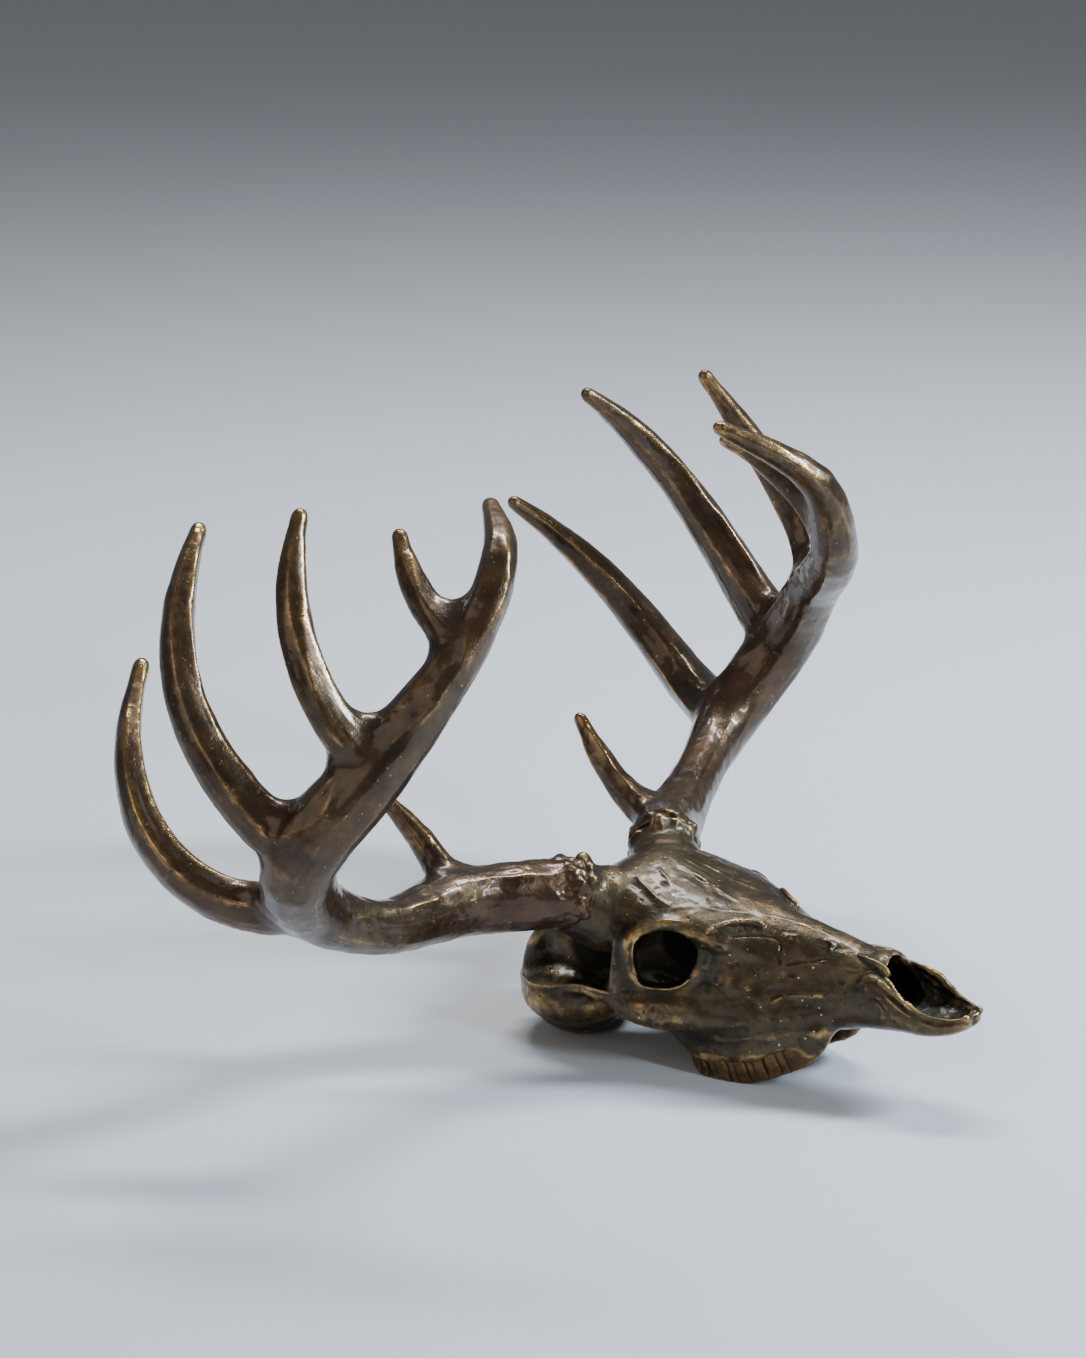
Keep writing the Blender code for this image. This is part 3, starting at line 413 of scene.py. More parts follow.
# The share of a mark's length over which it fades at each end.
STROKE_ENDS = 0.18
RIDGE_ENDS = 0.10
# Casting pits: depth, sizes of the two noises that make them, first seed, and the values
# of their product where a pit begins and where it is deepest.
SKULL_PITS = (0.35, (3.4, 2.1), 5, (0.32, 0.6))
ANTLER_PITS = (0.30, (2.6, 1.9), 58, (0.36, 0.6))

# --- bronzes --------------------------------------------------------------------------

# How much the fine and the broad relief of a skin count for rubbed edges and for hollows, which are painted
# dark as patina and as painted shade.
EDGE_SHARES = {"worn": (0.75, 0.5), "hollow": (-0.7, -0.55)}
SHARPEST = 97             # out of 100 points, how many lie under the relief that counts as full
# Each bronze: values of the patina, values of the casting grain, roughness of the wax.
FINISHES = {
    "skull bronze": (
        {"Rubbing": 0.9, "Smudges": 0.8, "Olive Share": 0.8, "Flecks": 1.0, "Mattness": 0.37, "Waxing": 0.30},
        {"Brushing": 1.0, "Grain": 0.35, "Pinholes": 0.8}, 0.13),
    "tooth bronze": (
        {"Rubbing": 0.7, "Smudges": 0.5, "Olive Share": 0.25, "Flecks": 0.3, "Mattness": 0.5, "Waxing": 0.1},
        {"Brushing": 0.7, "Grain": 0.4, "Pinholes": 0.5}, 0.25),
    "antler bronze": (
        {"Rubbing": 0.75, "Smudges": 0.2, "Olive Share": 0.5, "Flecks": 0.4, "Mattness": 0.32, "Waxing": 0.55},
        {"Brushing": 0.7, "Grain": 0.3, "Pinholes": 0.5}, 0.10),
}
# How fine each pattern of the bronze is, in cells to the metre.
FINENESS = {
    "olive patches": 26.0, "cloudiness": 60.0, "broken edges": 180.0, "rubbed stretches": 34.0,
    "smudges": 30.0, "flecks": 210.0, "groups of flecks": 70.0, "gloss": 50.0, "wax": 22.0,
    "brushing": 240.0, "grain": 900.0, "pinholes": 330.0, "groups of pinholes": 60.0,
}
FLECK = (0.70, 0.50, 0.28, 1.0)    # colour of the small bright flecks

# --- the stage ------------------------------------------------------------------------

# Soft lights: which power they take, place and size in metres, and colour.
LIGHTS = (
    ("key", (1.6, 1.2, 1.7), (0.35, 0.8), (0.70, 0.85, 1.0)),
    ("top", (-0.5, 0.9, 2.1), (1.4, 0.3), (0.88, 0.94, 1.0)),
    ("fill", (-0.6, -2.4, 1.5), (2.8, 2.0), (1.0, 0.93, 0.84)),
    ("side", (2.0, -0.2, 1.1), (0.2, 0.7), (0.72, 0.86, 1.0)),
)
LIGHTS_AIM = (0.0, 0.0, 0.15)
SKY_COLOUR = (0.9, 0.93, 1.0, 1.0)
FLOOR_REACH = 30.0        # metres from the middle of the floor to its edges
LENS = 92.78              # millimetres
FRAME_HEIGHT = 36.0       # millimetres of the camera's frame, for that lens

# --- sizes and colours that a user may change -----------------------------------------

def colour_property(name, description, default):
    return bpy.props.FloatVectorProperty(name=name, description=description, default=default,
                                         subtype="COLOR", size=3, min=0.0, max=1.0)


def length_property(name, description, default):
    return bpy.props.FloatProperty(name=name, description=description, default=default,
                                   unit="LENGTH", subtype="DISTANCE", min=0.0, precision=5)


def power_property(name, description, default):
    return bpy.props.FloatProperty(name=name, description=description, default=default, unit="POWER")


def angle_property(name, description, degrees):
    return bpy.props.FloatProperty(name=name, description=description, default=math.radians(degrees),
                                   subtype="ANGLE", unit="ROTATION")


class CastSizes(bpy.types.PropertyGroup):
    """Sizes of the finished skins."""

    skull_cell: length_property("Skull Cell", "Size of the cells that make the skull's skin", 0.00068)
    antler_cell: length_property("Antler Cell", "Size of the cells that make an antler's skin", 0.0010)
    tooth_cell: length_property("Tooth Cell", "Size of the cells that make a row of teeth", 0.0006)
    socket_rim: length_property("Eye Socket Rim", "Radius of the rolled rim of an eye socket", 0.0028)
    triangles: bpy.props.IntProperty(name="Triangles", description="Most triangles in one piece",
                                     default=190000, min=1000)
    lumpiness: bpy.props.FloatProperty(name="Lumpiness", description="How uneven the hand-modelled skin is",
                                       default=1.0, min=0.0, max=3.0, subtype="FACTOR")


class BronzeColours(bpy.types.PropertyGroup):
    """Colours of the patinated bronze."""

    brown: colour_property("Brown", "Dark brown patina of the antlers", (0.058, 0.0275, 0.0115))
    umber: colour_property("Umber", "Warmer brown patina of the skull", (0.054, 0.033, 0.0140))
    olive: colour_property("Olive", "Patches of greenish patina", (0.050, 0.043, 0.022))
    gold: colour_property("Gold", "Bronze that shows where the patina is rubbed", (0.50, 0.30, 0.115))
    # Black darkens the hollows: partly the dark patina, partly painted shade in creases and deep recesses.
    black: colour_property("Black", "Patina in the hollows", (0.003, 0.0025, 0.002))
    tooth: colour_property("Tooth", "Golden brown of the teeth", (0.100, 0.055, 0.020))


class StageLight(bpy.types.PropertyGroup):
    """The floor, the lights and the camera."""

    floor: colour_property("Floor", "Colour of the plain floor", (0.58, 0.58, 0.59))
    key: power_property("Key", "Power of the large cool light", 110.0)
    top: power_property("Top", "Power of the long light above", 55.0)
    fill: power_property("Fill", "Power of the warm light", 20.0)
    side: power_property("Side", "Power of the narrow cool light ahead", 26.0)
    sky: bpy.props.FloatProperty(name="Sky", description="Strength of the light from all round", default=0.20)
    azimuth: angle_property("Azimuth", "Turn of the camera to the skull's right", 33.4)
    elevation: angle_property("Elevation", "Height of the camera as an angle", 16.45)
    distance: length_property("Distance", "Distance of the camera from its target", 2.023)
    target: bpy.props.FloatVectorProperty(name="Target", description="Where the camera looks", unit="LENGTH",
                                          default=(-0.0658, 0.0, 0.2019), subtype="XYZ")


# --- places ---------------------------------------------------------------------------

def place(point, side=1):
    """The point in metres, in the frame of the whole cast."""
    x, y, z = point
    return Vector(((x + SNOUT_AHEAD) * MM, y * side * MM, z * MM))


def turned(turn, side=1):
    """The turn in degrees about x, y and z on the left side, or its mirror on the right."""
    spin = Matrix.Identity(4)
    for angle, axis in zip(turn, "XYZ"):
        sign = 1 if axis == "Y" else side
        spin = Matrix.Rotation(math.radians(angle * sign), 4, axis) @ spin
    return spin


def facing(direction, side=1):
    """The turn that lays z along the direction."""
    x, y, z = direction
    return Vector((x, y * side, z)).to_track_quat("Z", "Y").to_matrix().to_4x4()


def laid(centre, spin, size, side=1):
    """The matrix that makes a form of unit size a real one, turned and in its place."""
    # The scale is in millimetres and the place in metres, so the last entry keeps the place.
    return Matrix.Translation(place(centre, side)) @ spin @ Matrix.Diagonal((*size, 1.0 / MM)) * MM


def smooth_run(values, share):
    """A smooth curve through the values, read at a share from 0 to 1."""
    place_along = min(max(share, 0.0), 1.0) * (len(values) - 1)
    start = min(int(place_along), len(values) - 2)
    t = place_along - start
    p1 = Vector(values[start])
    p2 = Vector(values[start + 1])
    p0 = Vector(values[start - 1]) if start > 0 else 2 * p1 - p2
    p3 = Vector(values[start + 2]) if start + 2 < len(values) else 2 * p2 - p1
    return 0.5 * (2 * p1 + (p2 - p0) * t + (2 * p0 - 5 * p1 + 4 * p2 - p3) * t * t
                  + (3 * p1 - p0 - 3 * p2 + p3) * t ** 3)


def smooth_line(values, steps):
    """The smooth curve as an array of steps + 1 points."""
    return np.array([smooth_run(values, i / steps) for i in range(steps + 1)])


def smooth_numbers(values, steps):
    """The same for single numbers."""
    return smooth_line([(value, 0.0) for value in values], steps)[:, 0]


# --- raw forms ------------------------------------------------------------------------

POLE = math.pi * 0.985    # how much of a ball its rings span, so that they don't meet in a point


class Clay:
    """Loose closed forms, pressed together before they are fused into one skin."""

    def __init__(self):
        self.points = []
        self.faces = []

    def add(self, points, faces):
        first = len(self.points)
        self.faces += [[index + first for index in face] for face in faces]
        self.points += [tuple(point) for point in points]


def ring_faces(rings, around):
    """The faces that join rings of points one after the other, with both ends closed."""
    faces = []
    for ring in range(rings - 1):
        low, high = ring * around, (ring + 1) * around
        for i in range(around):
            j = (i + 1) % around
            faces.append((low + i, low + j, high + j, high + i))
    faces.append(tuple(range(around)))
    faces.append(tuple(range((rings - 1) * around, rings * around))[::-1])
    return faces


def add_form(clay, matrix, points, faces):
    """Add a form of unit size through its matrix."""
    spin = np.array(matrix.to_3x3())
    clay.add(points @ spin.T + np.array(matrix.translation), faces)


def add_ball(clay, centre, radii, side=1, turn=(0, 0, 0), spin=None, around=24, rings=17):
    """Add an ellipsoid. The turn is in degrees about x, y and z on the left side."""
    up = np.linspace(-0.5, 0.5, rings) * POLE
    angle = np.linspace(0, 2 * math.pi, around, endpoint=False)
    across = np.cos(up)[:, None]
    points = np.stack((across * np.cos(angle), across * np.sin(angle),
                       np.repeat(np.sin(up)[:, None], around, 1)), axis=2).reshape(-1, 3)
    matrix = laid(centre, spin or turned(turn, side), radii, side)
    add_form(clay, matrix, points, ring_faces(rings, around))


def add_block(clay, centre, size, side=1):
    """Add a block that stands square to the floor."""
    corners = np.array([(x, y, z) for z in (-0.5, 0.5)
                        for x, y in ((-0.5, -0.5), (0.5, -0.5), (0.5, 0.5), (-0.5, 0.5))])
    add_form(clay, laid(centre, Matrix.Identity(4), size, side), corners, ring_faces(2, 4))


def frames_along(line):
    """The way along a line at each of its points, and two ways across it that never spin."""
    ways = np.gradient(line, axis=0)
    ways /= np.linalg.norm(ways, axis=1)[:, None]
    across = np.cross(ways[0], (0.1, 0.2, 1))
    firsts = []
    for way in ways:
        across = across - way * (across @ way)
        across = across / np.linalg.norm(across)
        firsts.append(across)
    firsts = np.array(firsts)
    return ways, firsts, np.cross(ways, firsts)


def add_round_bar(clay, line, sizes, side=1, around=20):
    """Add a bar through the points, with a ball at each end."""
    line = np.array(line, float)
    firsts, seconds = frames_along(line)[1:]
    angle = np.linspace(0, 2 * math.pi, around, endpoint=False)[None, :, None]
    across = np.cos(angle) * firsts[:, None] + np.sin(angle) * seconds[:, None]
    rings = line[:, None] + np.array(sizes)[:, None, None] * across
    points = rings.reshape(-1, 3) * (1, side, 1) * MM + (SNOUT_AHEAD * MM, 0, 0)
    clay.add(points, ring_faces(len(line), around))
    for i in (0, -1):
        add_ball(clay, line[i], [sizes[i]] * 3, side)


def add_tube(clay, run, side=1, steps=8):
    """Add a bar of round section that swells and thins along its centre line."""
    centres, radii = zip(*run)
    count = steps * (len(run) - 1)
    add_round_bar(clay, smooth_line(centres, count), smooth_numbers(radii, count), side)


def section(values, points=48):
    """One closed cross-section of the skull, square to x."""
    x, half_width, top, widest, bottom, above, below = values
    ring = []
    for i in range(points):
        angle = 2 * math.pi * i / points
        across, up = math.cos(angle), math.sin(angle)
        power = 2 / (above if up > 0 else below)
        reach = top - widest if up > 0 else widest - bottom
        y = half_width * math.copysign(abs(across) ** power, across)
        z = widest + reach * math.copysign(abs(up) ** power, up)
        ring.append(place((x, y, z)))
    return ring


def add_loft(clay, stations, between=5):
    """Add a closed skin over the cross-sections, smooth from one to the next."""
    rings = [section(values) for values in smooth_line(stations, between * (len(stations) - 1))]
    clay.add([point for ring in rings for point in ring], ring_faces(len(rings), len(rings[0])))


def to_object(clay, name):
    """Make an object of the loose forms, each with its outside out."""
    mesh = bpy.data.meshes.new(name)
    mesh.from_pydata(clay.points, [], clay.faces)
    shell = bmesh.new()
    shell.from_mesh(mesh)
    bmesh.ops.recalc_face_normals(shell, faces=shell.faces)
    shell.to_mesh(mesh)
    shell.free()
    obj = bpy.data.objects.new(name, mesh)
    bpy.context.scene.collection.objects.link(obj)
    return obj


def press_on(obj, clay):
    """Add the loose forms to the object's mesh."""
    forms = bpy.data.meshes.new("forms")
    forms.from_pydata(clay.points, [], clay.faces)
    shell = bmesh.new()
    shell.from_mesh(obj.data)
    shell.from_mesh(forms)
    shell.to_mesh(obj.data)
    shell.free()
    bpy.data.meshes.remove(forms)


# --- working on a skin ----------------------------------------------------------------

def settle(obj):
    """Give the object the shape that its modifiers make, and drop them."""
    bpy.context.view_layer.update()
    mesh = bpy.data.meshes.new_from_object(obj.evaluated_get(bpy.context.evaluated_depsgraph_get()))
    obj.modifiers.clear()
    old = obj.data
    obj.data = mesh
    bpy.data.meshes.remove(old)


def add_remesh(obj, cell):
    """Remake the object as one closed skin of square cells."""
    remesh = obj.modifiers.new("one skin", "REMESH")
    remesh.mode = "VOXEL"
    remesh.voxel_size = cell


def add_smoothing(obj, passes):
    obj.modifiers.new("smooth", "SMOOTH").iterations = passes


def fuse(obj, cell, fillet, smoothing, regain=0.3):
    """Fuse overlapping forms into one skin and round the hollows between them."""
    for reach in (fillet, regain - fillet):
        add_remesh(obj, cell * MM)
        swell = obj.modifiers.new("swell", "DISPLACE")
        swell.strength = reach * MM
        swell.mid_level = 0.0
    add_smoothing(obj, smoothing)
    settle(obj)


def refine(obj, cell, smoothing):
    """Remake the skin in small cells, and take the steps out of it."""
    add_remesh(obj, cell * (1.0))
    add_smoothing(obj, smoothing)
    settle(obj)


def thin_out(obj, triangles):
    """Reduce the skin to no more than the number of triangles given."""
    now = sum(len(face.vertices) - 2 for face in obj.data.polygons)
    if now > triangles:
        decimate = obj.modifiers.new("thin out", "DECIMATE")
        decimate.ratio = triangles / now
        decimate.use_collapse_triangulate = True
        settle(obj)


def cut(obj, clay):
    """Take the form away from the object."""
    cutter = to_object(clay, "cutter")
    boolean = obj.modifiers.new("cut", "BOOLEAN")
    boolean.operation = "DIFFERENCE"
    boolean.object = cutter
    settle(obj)
    mesh = cutter.data
    bpy.data.objects.remove(cutter)
    bpy.data.meshes.remove(mesh)


def read_rows(items, name):
    """One vector of each item, as the rows of an array."""
    rows = np.empty(len(items) * 3, dtype=np.float32)
    items.foreach_get(name, rows)
    return rows.reshape(-1, 3).astype(float)


def read_points(obj, side=1):
    """The points of the skin in millimetres. Side -1 gives their mirror."""
    return (read_rows(obj.data.vertices, "co") / MM - (SNOUT_AHEAD, 0, 0)) * (1, side, 1)


def read_normals(obj):
    """The way out of the skin at each of its points."""
    return read_rows(obj.data.vertex_normals, "vector")


def write_points(obj, points, side=1):
    """Move the points of the skin to these places in millimetres, or to their mirror."""
    points = (points * (1, side, 1) + (SNOUT_AHEAD, 0, 0)) * MM
    obj.data.vertices.foreach_set("co", points.astype(np.float32).ravel())
    obj.data.update()


def raise_skin(obj, height):
    """Move each point of the skin out along its normal by its own height."""
    write_points(obj, read_points(obj) + read_normals(obj) * height[:, None])


def flatten_under(obj, floor=0.0):
    """Press whatever lies under the floor flat on it."""
    points = read_points(obj)
    points[:, 2] = np.maximum(points[:, 2], floor)
    write_points(obj, points)


def step(values, low, high):
    """0 below low, 1 above high, and smooth between them."""
    share = np.clip((values - low) / (high - low), 0, 1)
    return share * share * (3 - 2 * share)


def faded_ends(along, share):
    """1 along a line, and smooth to 0 over the given share at each of its ends."""
    return step(along, 0.0, share) * step(1 - along, 0.0, share)


def cloud(points, size, seed):
    """Soft noise from -1 to 1, with lumps of about the size given."""
    tilt = np.array(turned((31 + seed, 17, 43 + seed)).to_3x3())
    spots = points @ tilt / size + seed * 7.31
    base = np.floor(spots).astype(np.int64)
    part = spots - base
    part = part * part * (3 - 2 * part)
    total = np.zeros(len(points))
    for corner in itertools.product((0, 1), repeat=3):
        x, y, z = (base + corner).T
        mixed = (x * 374761393 + y * 668265263 + z * 2147483647 + seed * 1442695) & 0xFFFFFFFF
        mixed = ((mixed ^ (mixed >> 13)) * 1274126177) & 0xFFFFFFFF
        mixed = ((mixed ^ (mixed >> 16)) * 2246822519) & 0xFFFFFFFF
        weight = np.prod(np.where(corner, part, 1 - part), axis=1)
        total += weight * ((mixed >> 8 & 0xFFFF) / 32767.5 - 1)
    return total


def lumps(points, layers):
    """Layers of soft noise added up."""
    return sum(height * cloud(points, size, seed) for height, size, seed in layers)


def pits(points, depth, sizes, seed, limits):
    """The depth of scattered pits, which lie where the product of two noises is high."""
    both = cloud(points, sizes[0], seed) * cloud(points, sizes[1], seed + 1)
    return depth * step(both, *limits)


def uneven(points, mean, swing, size, seed, least, most):
    """How deep a mark goes at every point, as a share that varies softly."""
    return np.clip(mean + swing * cloud(points, size, seed), least, most)


def gap_to_line(points, line):
    """How far every point lies from a line of straight runs, and its share along it."""
    gap = np.full(len(points), 1e9)
    along = np.zeros(len(points))
    for i, (start, end) in enumerate(zip(line, line[1:])):
        run = end - start
        share = np.clip((points - start) @ run / (run @ run), 0, 1)
        here = np.linalg.norm(points - start - share[:, None] * run, axis=1)
        closer = here < gap
        gap[closer] = here[closer]
        along[closer] = (i + share[closer]) / (len(line) - 1)
    return gap, along


def beside(points, line, reach):
    """The numbers of the points in the box round the line, with the reach on every side."""
    return np.flatnonzero(np.all((points > line.min(0) - reach) & (points < line.max(0) + reach), axis=1))


def stroke(points, height, width, depth, line):
    """Add one mark of the modelling tool to the heights."""
    line = smooth_line(line, 4 * (len(line) - 1))
    near = beside(points, line, 3 * width)
    gap, along = gap_to_line(points[near], line)
    fading = faded_ends(along, STROKE_ENDS)
    height[near] += depth * np.exp(-(gap / width) ** 2) * fading * uneven(points[near], *UNEVEN_STROKE)


def ridge(points, height, width, rise, line):
    """Add a sharp ridge where the skin lies closest to the line."""
    line = smooth_line(line, 3 * (len(line) - 1))
    line = np.array([points[((points - spot) ** 2).sum(1).argmin()] for spot in line])
    line[1:-1] = (line[:-2] + 2 * line[1:-1] + line[2:]) / 4
    near = beside(points, line, width)
    gap, along = gap_to_line(points[near], line)
    fading = faded_ends(along, RIDGE_ENDS)
    height[near] += rise * np.clip(1 - gap / width, 0, 1) ** 1.3 * fading * uneven(points[near], *UNEVEN_RIDGE)


def dent(points, height, centre, radius, depth):
    """Press a round dent into the heights."""
    gap = np.linalg.norm(points - centre, axis=1)
    height -= depth * np.exp(-(gap / radius) ** 2)


def inside(points, full, none, centre, radii, turn=(0, 0, 0)):
    """1 inside the ellipsoid, up to a share of its radii, and smooth to 0 at a larger share."""
    spin = np.array(turned(turn).to_3x3())
    return 1 - step(np.linalg.norm((points - centre) @ spin / radii, axis=1), full, none)


def paint_edges(obj, fine, broad, rubbing=1.0):
    """Store where the skin stands out, for rubbed edges, and where it lies in, for hollows painted dark with
    patina and painted shade.
    """
    points, normals = read_points(obj), read_normals(obj)
    ends = np.empty(len(obj.data.edges) * 2, dtype=np.int32)
    obj.data.edges.foreach_get("vertices", ends)
    start, end = ends.reshape(-1, 2).T
    count = np.bincount(start, minlength=len(points)) + np.bincount(end, minlength=len(points))
    count = np.maximum(count, 1)
    smooth = points.copy()
    stands_out = {}
    for i in range(1, broad + 1):
        summed = np.stack([np.bincount(start, smooth[end, axis], len(points))
                           + np.bincount(end, smooth[start, axis], len(points)) for axis in range(3)], axis=1)
        smooth = summed / count[:, None]
        if i in (fine, broad):
            height = ((points - smooth) * normals).sum(1)
            stands_out[i] = height / np.percentile(np.abs(height), SHARPEST)
    for name, shares in EDGE_SHARES.items():
        values = np.clip(shares[0] * stands_out[fine] + shares[1] * stands_out[broad], 0, 1)
        store(obj, name, values * (rubbing if name == "worn" else 1.0))


def paint_recess_shade(obj, forms):
    """Store painted shade, over the dark patina, where the skin lies in a deep hollow. Each form is its share
    of black and its ellipsoid.
    """
    points, normals = read_points(obj), read_normals(obj)
    mirror = np.where(points[:, 1:2] < 0, (1, -1, 1), (1, 1, 1))
    points, normals = points * mirror, normals * mirror
    depth = np.zeros(len(points))
    for share, (centre, radii, turn) in forms:
        facing_in = share * step(((centre - points) * normals).sum(1), 0.0, 6.0)
        depth = np.maximum(depth, facing_in * inside(points, 1.0, 1.2, centre, radii, turn))
    store(obj, "recess", depth)


def store(obj, name, values):
    """Keep one value for each point of the skin, for the materials to read."""
    layer = obj.data.attributes.new(name, "FLOAT", "POINT")
    layer.data.foreach_set("value", values.astype(np.float32))


def finish(obj, name, material, nodes):
    """Name the piece, dress it, and let it stand for its nodes."""
    obj.name = name
    obj.data.name = name
    obj.data.materials.clear()
    obj.data.materials.append(material)
    obj.data.shade_smooth()
    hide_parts(*nodes)
    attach(obj, "root")


# --- the skull ------------------------------------------------------------------------

def socket_point(along, up, out=0.0):
    """A place in the plane of an eye socket's rim, or out from it."""
    x, y, z = EYE_SOCKET
    turn = math.radians(SOCKET_TURN)
    return (x + along * math.cos(turn) + out * math.sin(turn),
            y - along * math.sin(turn) + out * math.cos(turn), z + up)


def opening_outline():
    """The closed outline of the eye socket's opening."""
    values = SOCKET_OPENING[-1:] + SOCKET_OPENING + SOCKET_OPENING[:2]
    return smooth_line(values, OUTLINE_STEPS * (len(values) - 1))[OUTLINE_STEPS:-OUTLINE_STEPS - 1]


def add_rim_bar(clay, side, outline, radius, wider, out):
    """Add a bar along the outline in the plane of an eye socket's rim."""
    add_round_bar(clay, [socket_point(along, up, out) for along, up in outline * wider],
                  [radius] * len(outline), side)


def add_socket_hollow(clay, side, rings=27):
    """Add the room of an eye socket: its opening's outline, rounded off towards the middle."""
    outline = opening_outline()
    points = []
    for lean in np.linspace(-0.5, 0.5, rings) * POLE:
        share = math.cos(lean) / math.cos(math.asin(SOCKET_MIDDLE / SOCKET_DEPTH))
        out = SOCKET_MIDDLE + SOCKET_DEPTH * math.sin(lean)
        points += [place(socket_point(along * share, up * share, out), side) for along, up in outline]
    clay.add(points, ring_faces(rings, len(outline)))


def add_nodules(clay, side, seed, rows):
    """Add rows of nodules round the burr's axis."""
    rng = random.Random(seed)
    spin = facing(BURR_AXIS)
    for along, row, count in rows:
        for i in range(count):
            angle = 2 * math.pi * (i + rng.uniform(-0.35, 0.35)) / count
            reach = row + rng.uniform(-1.0, 0.8)
            height = along + rng.uniform(-1, 1)
            spot = spin @ Vector((reach * math.cos(angle), reach * math.sin(angle), height))
            size = rng.uniform(*NODULE_SIZES)
            add_ball(clay, Vector(BURR_CENTRE) + spot, (size, size * rng.uniform(0.8, 1.2), size), side,
                     around=12, rings=9)


def fused_skull(rim):
    """The skull's bones fused into one skin, still without its hollows."""
    clay = Clay()
    add_ball(clay, *BRAINCASE, around=40, rings=30)
    for stations in (CORE, ROOF, SNOUT):
        add_loft(clay, stations)
    centre, radii, turn = END_OF_NOSE_BONES
    add_ball(clay, centre, radii, turn=turn)
    for side in SIDES.values():
        for run in BARS.values():
            add_tube(clay, run, side)
        for centre, radii in (*BASE_SWELLINGS, CONDYLE):
            add_ball(clay, centre, radii, side)
        add_nodules(clay, side, "collar", COLLAR_ROWS)
        add_rim_bar(clay, side, opening_outline(), *SOCKET_WALL)
        add_rim_bar(clay, side, smooth_line(SOCKET_CREST, steps=40), rim, *CREST_BAR)
    skull = to_object(clay, "skull")
    fuse(skull, cell=1.8, fillet=2.8, smoothing=2)
    return skull


def carve_hollows(skull):
    """Cut the eye sockets, the nose and the hole for the spinal cord."""
    for side in SIDES.values():
        clay = Clay()
        add_socket_hollow(clay, side)
        cut(skull, clay)
    for centre, size, turn in (NOSE_OPENING, NOSE_PASSAGE, SPINE_OPENING):
        clay = Clay()
        add_ball(clay, centre, size, turn=turn, around=48, rings=33)
        cut(skull, clay)


def lay_trim(skull):
    """Lay thin bars on the fused skin."""
    clay = Clay()
    start, end = (round(point * OUTLINE_STEPS) for point in INNER_EDGE)
    for side in SIDES.values():
        for run in TRIM.values():
            add_tube(clay, run, side)
        add_rim_bar(clay, side, opening_outline()[start:end], *INNER_EDGE_BAR)
        add_rim_bar(clay, side, smooth_line(SOCKET_CREST, steps=50), *CREST_EDGE_BAR)
    for run in LEFT_NOSE_RIM:
        add_tube(clay, run)
    press_on(skull, clay)


def model_skull_skin(skull, lumpiness):
    """Raise and press the skull's skin as the modelling tool and the casting left it."""
    points = read_points(skull)
    folded = np.stack((points[:, 0], np.abs(points[:, 1]), points[:, 2]), axis=1)
    height = np.zeros(len(points))
    for width, depth, line in MARKS:
        stroke(folded, height, width, depth, line)
    for centre, radius, depth in DENTS:
        dent(folded, height, centre, radius, depth)
    centre, radii, depth = SUNKEN_PLATE
    height -= depth * inside(folded, 0.45, 1.1, centre, radii)
    height += lumpiness * lumps(points, SKULL_LUMPS)
    for centre, radii, rise in ROUGH_PATCHES:
        rough = rise * inside(points, 0.5, 1.0, centre, radii)
        height += rough * np.maximum(lumps(points, ROUGH_WAX), -0.2)
    height += inside(points, 1.0, 1.15, *NOSE_OPENING) * lumps(points, NOSE_LUMPS)
    height -= pits(points, *SKULL_PITS)
    raise_skin(skull, height)


class DEERSKULL_OT_skull(bpy.types.Operator):
    """Model the skull from the braincase to the snout as one cast skin"""

    bl_idname = "deer_skull.skull"
    bl_label = "Skull"

    def execute(self, context):
        sizes = context.scene.cast_sizes
        skull = fused_skull(sizes.socket_rim / MM)
        carve_hollows(skull)
        lay_trim(skull)
        refine(skull, sizes.skull_cell, smoothing=3)
        model_skull_skin(skull, sizes.lumpiness)
        thin_out(skull, sizes.triangles)
        flatten_under(skull)
        paint_edges(skull, fine=5, broad=40)
        # Painted shade: the eye sockets, the nose, the hole for the spinal cord and the temples are painted
        # near black deep inside, over their dark patina.
        centre, radii = SOCKET_SHADE
        socket = (socket_point(*centre), radii, (0, 0, -SOCKET_TURN))
        paint_recess_shade(skull, ((1.0, socket), (0.62, NOSE_OPENING), (1.0, NOSE_PASSAGE), (1.0, SPINE_OPENING),
                             (0.9, TEMPLE_SHADE)))
        material = bronze("skull bronze", context.scene.bronze_colours.umber)
        finish(skull, "skull_cast", material, ("braincase", "brow", "face", "muzzle"))
        return {"FINISHED"}


# --- the teeth ------------------------------------------------------------------------

def tooth_row(side):
    """One row of crowns as a band, thick enough to end inside the gum."""
    clay = Clay()
    for x, y, lowest, width in smooth_line(TOOTH_ROW, steps=40):
        half_length, share, half_height = CROWN_BALL
        add_ball(clay, (x, y, lowest + half_height), (half_length, width * share, half_height), side)
        length, share, height, above = CROWN_BLOCK
        add_block(clay, (x, y, lowest + above + height / 2), (length, width * share, height), side)
    row = to_object(clay, "teeth")
    fuse(row, cell=0.9, fillet=2.4, smoothing=3)
    return row


def model_tooth_skin(row, lumpiness):
    """Press the grooves between the teeth, which lean, and the wear into the band."""
    points = read_points(row)
    height = lumpiness * lumps(points, TOOTH_LUMPS)
    leaning = points[:, 0] + GROOVE_LEAN * points[:, 2] + cloud(points, 8, 15)
    share = uneven(points, *UNEVEN_GROOVE)
    for x, width, depth in TOOTH_GROOVES:
        height -= depth * share * np.exp(-((leaning - x) / width) ** 2)
    # Streaks: noise that is drawn out upwards.
    height -= 0.5 * step(cloud(points * (1, 0.5, 0.16), 2.4, 13), 0.45, 0.8)
    raise_skin(row, height)


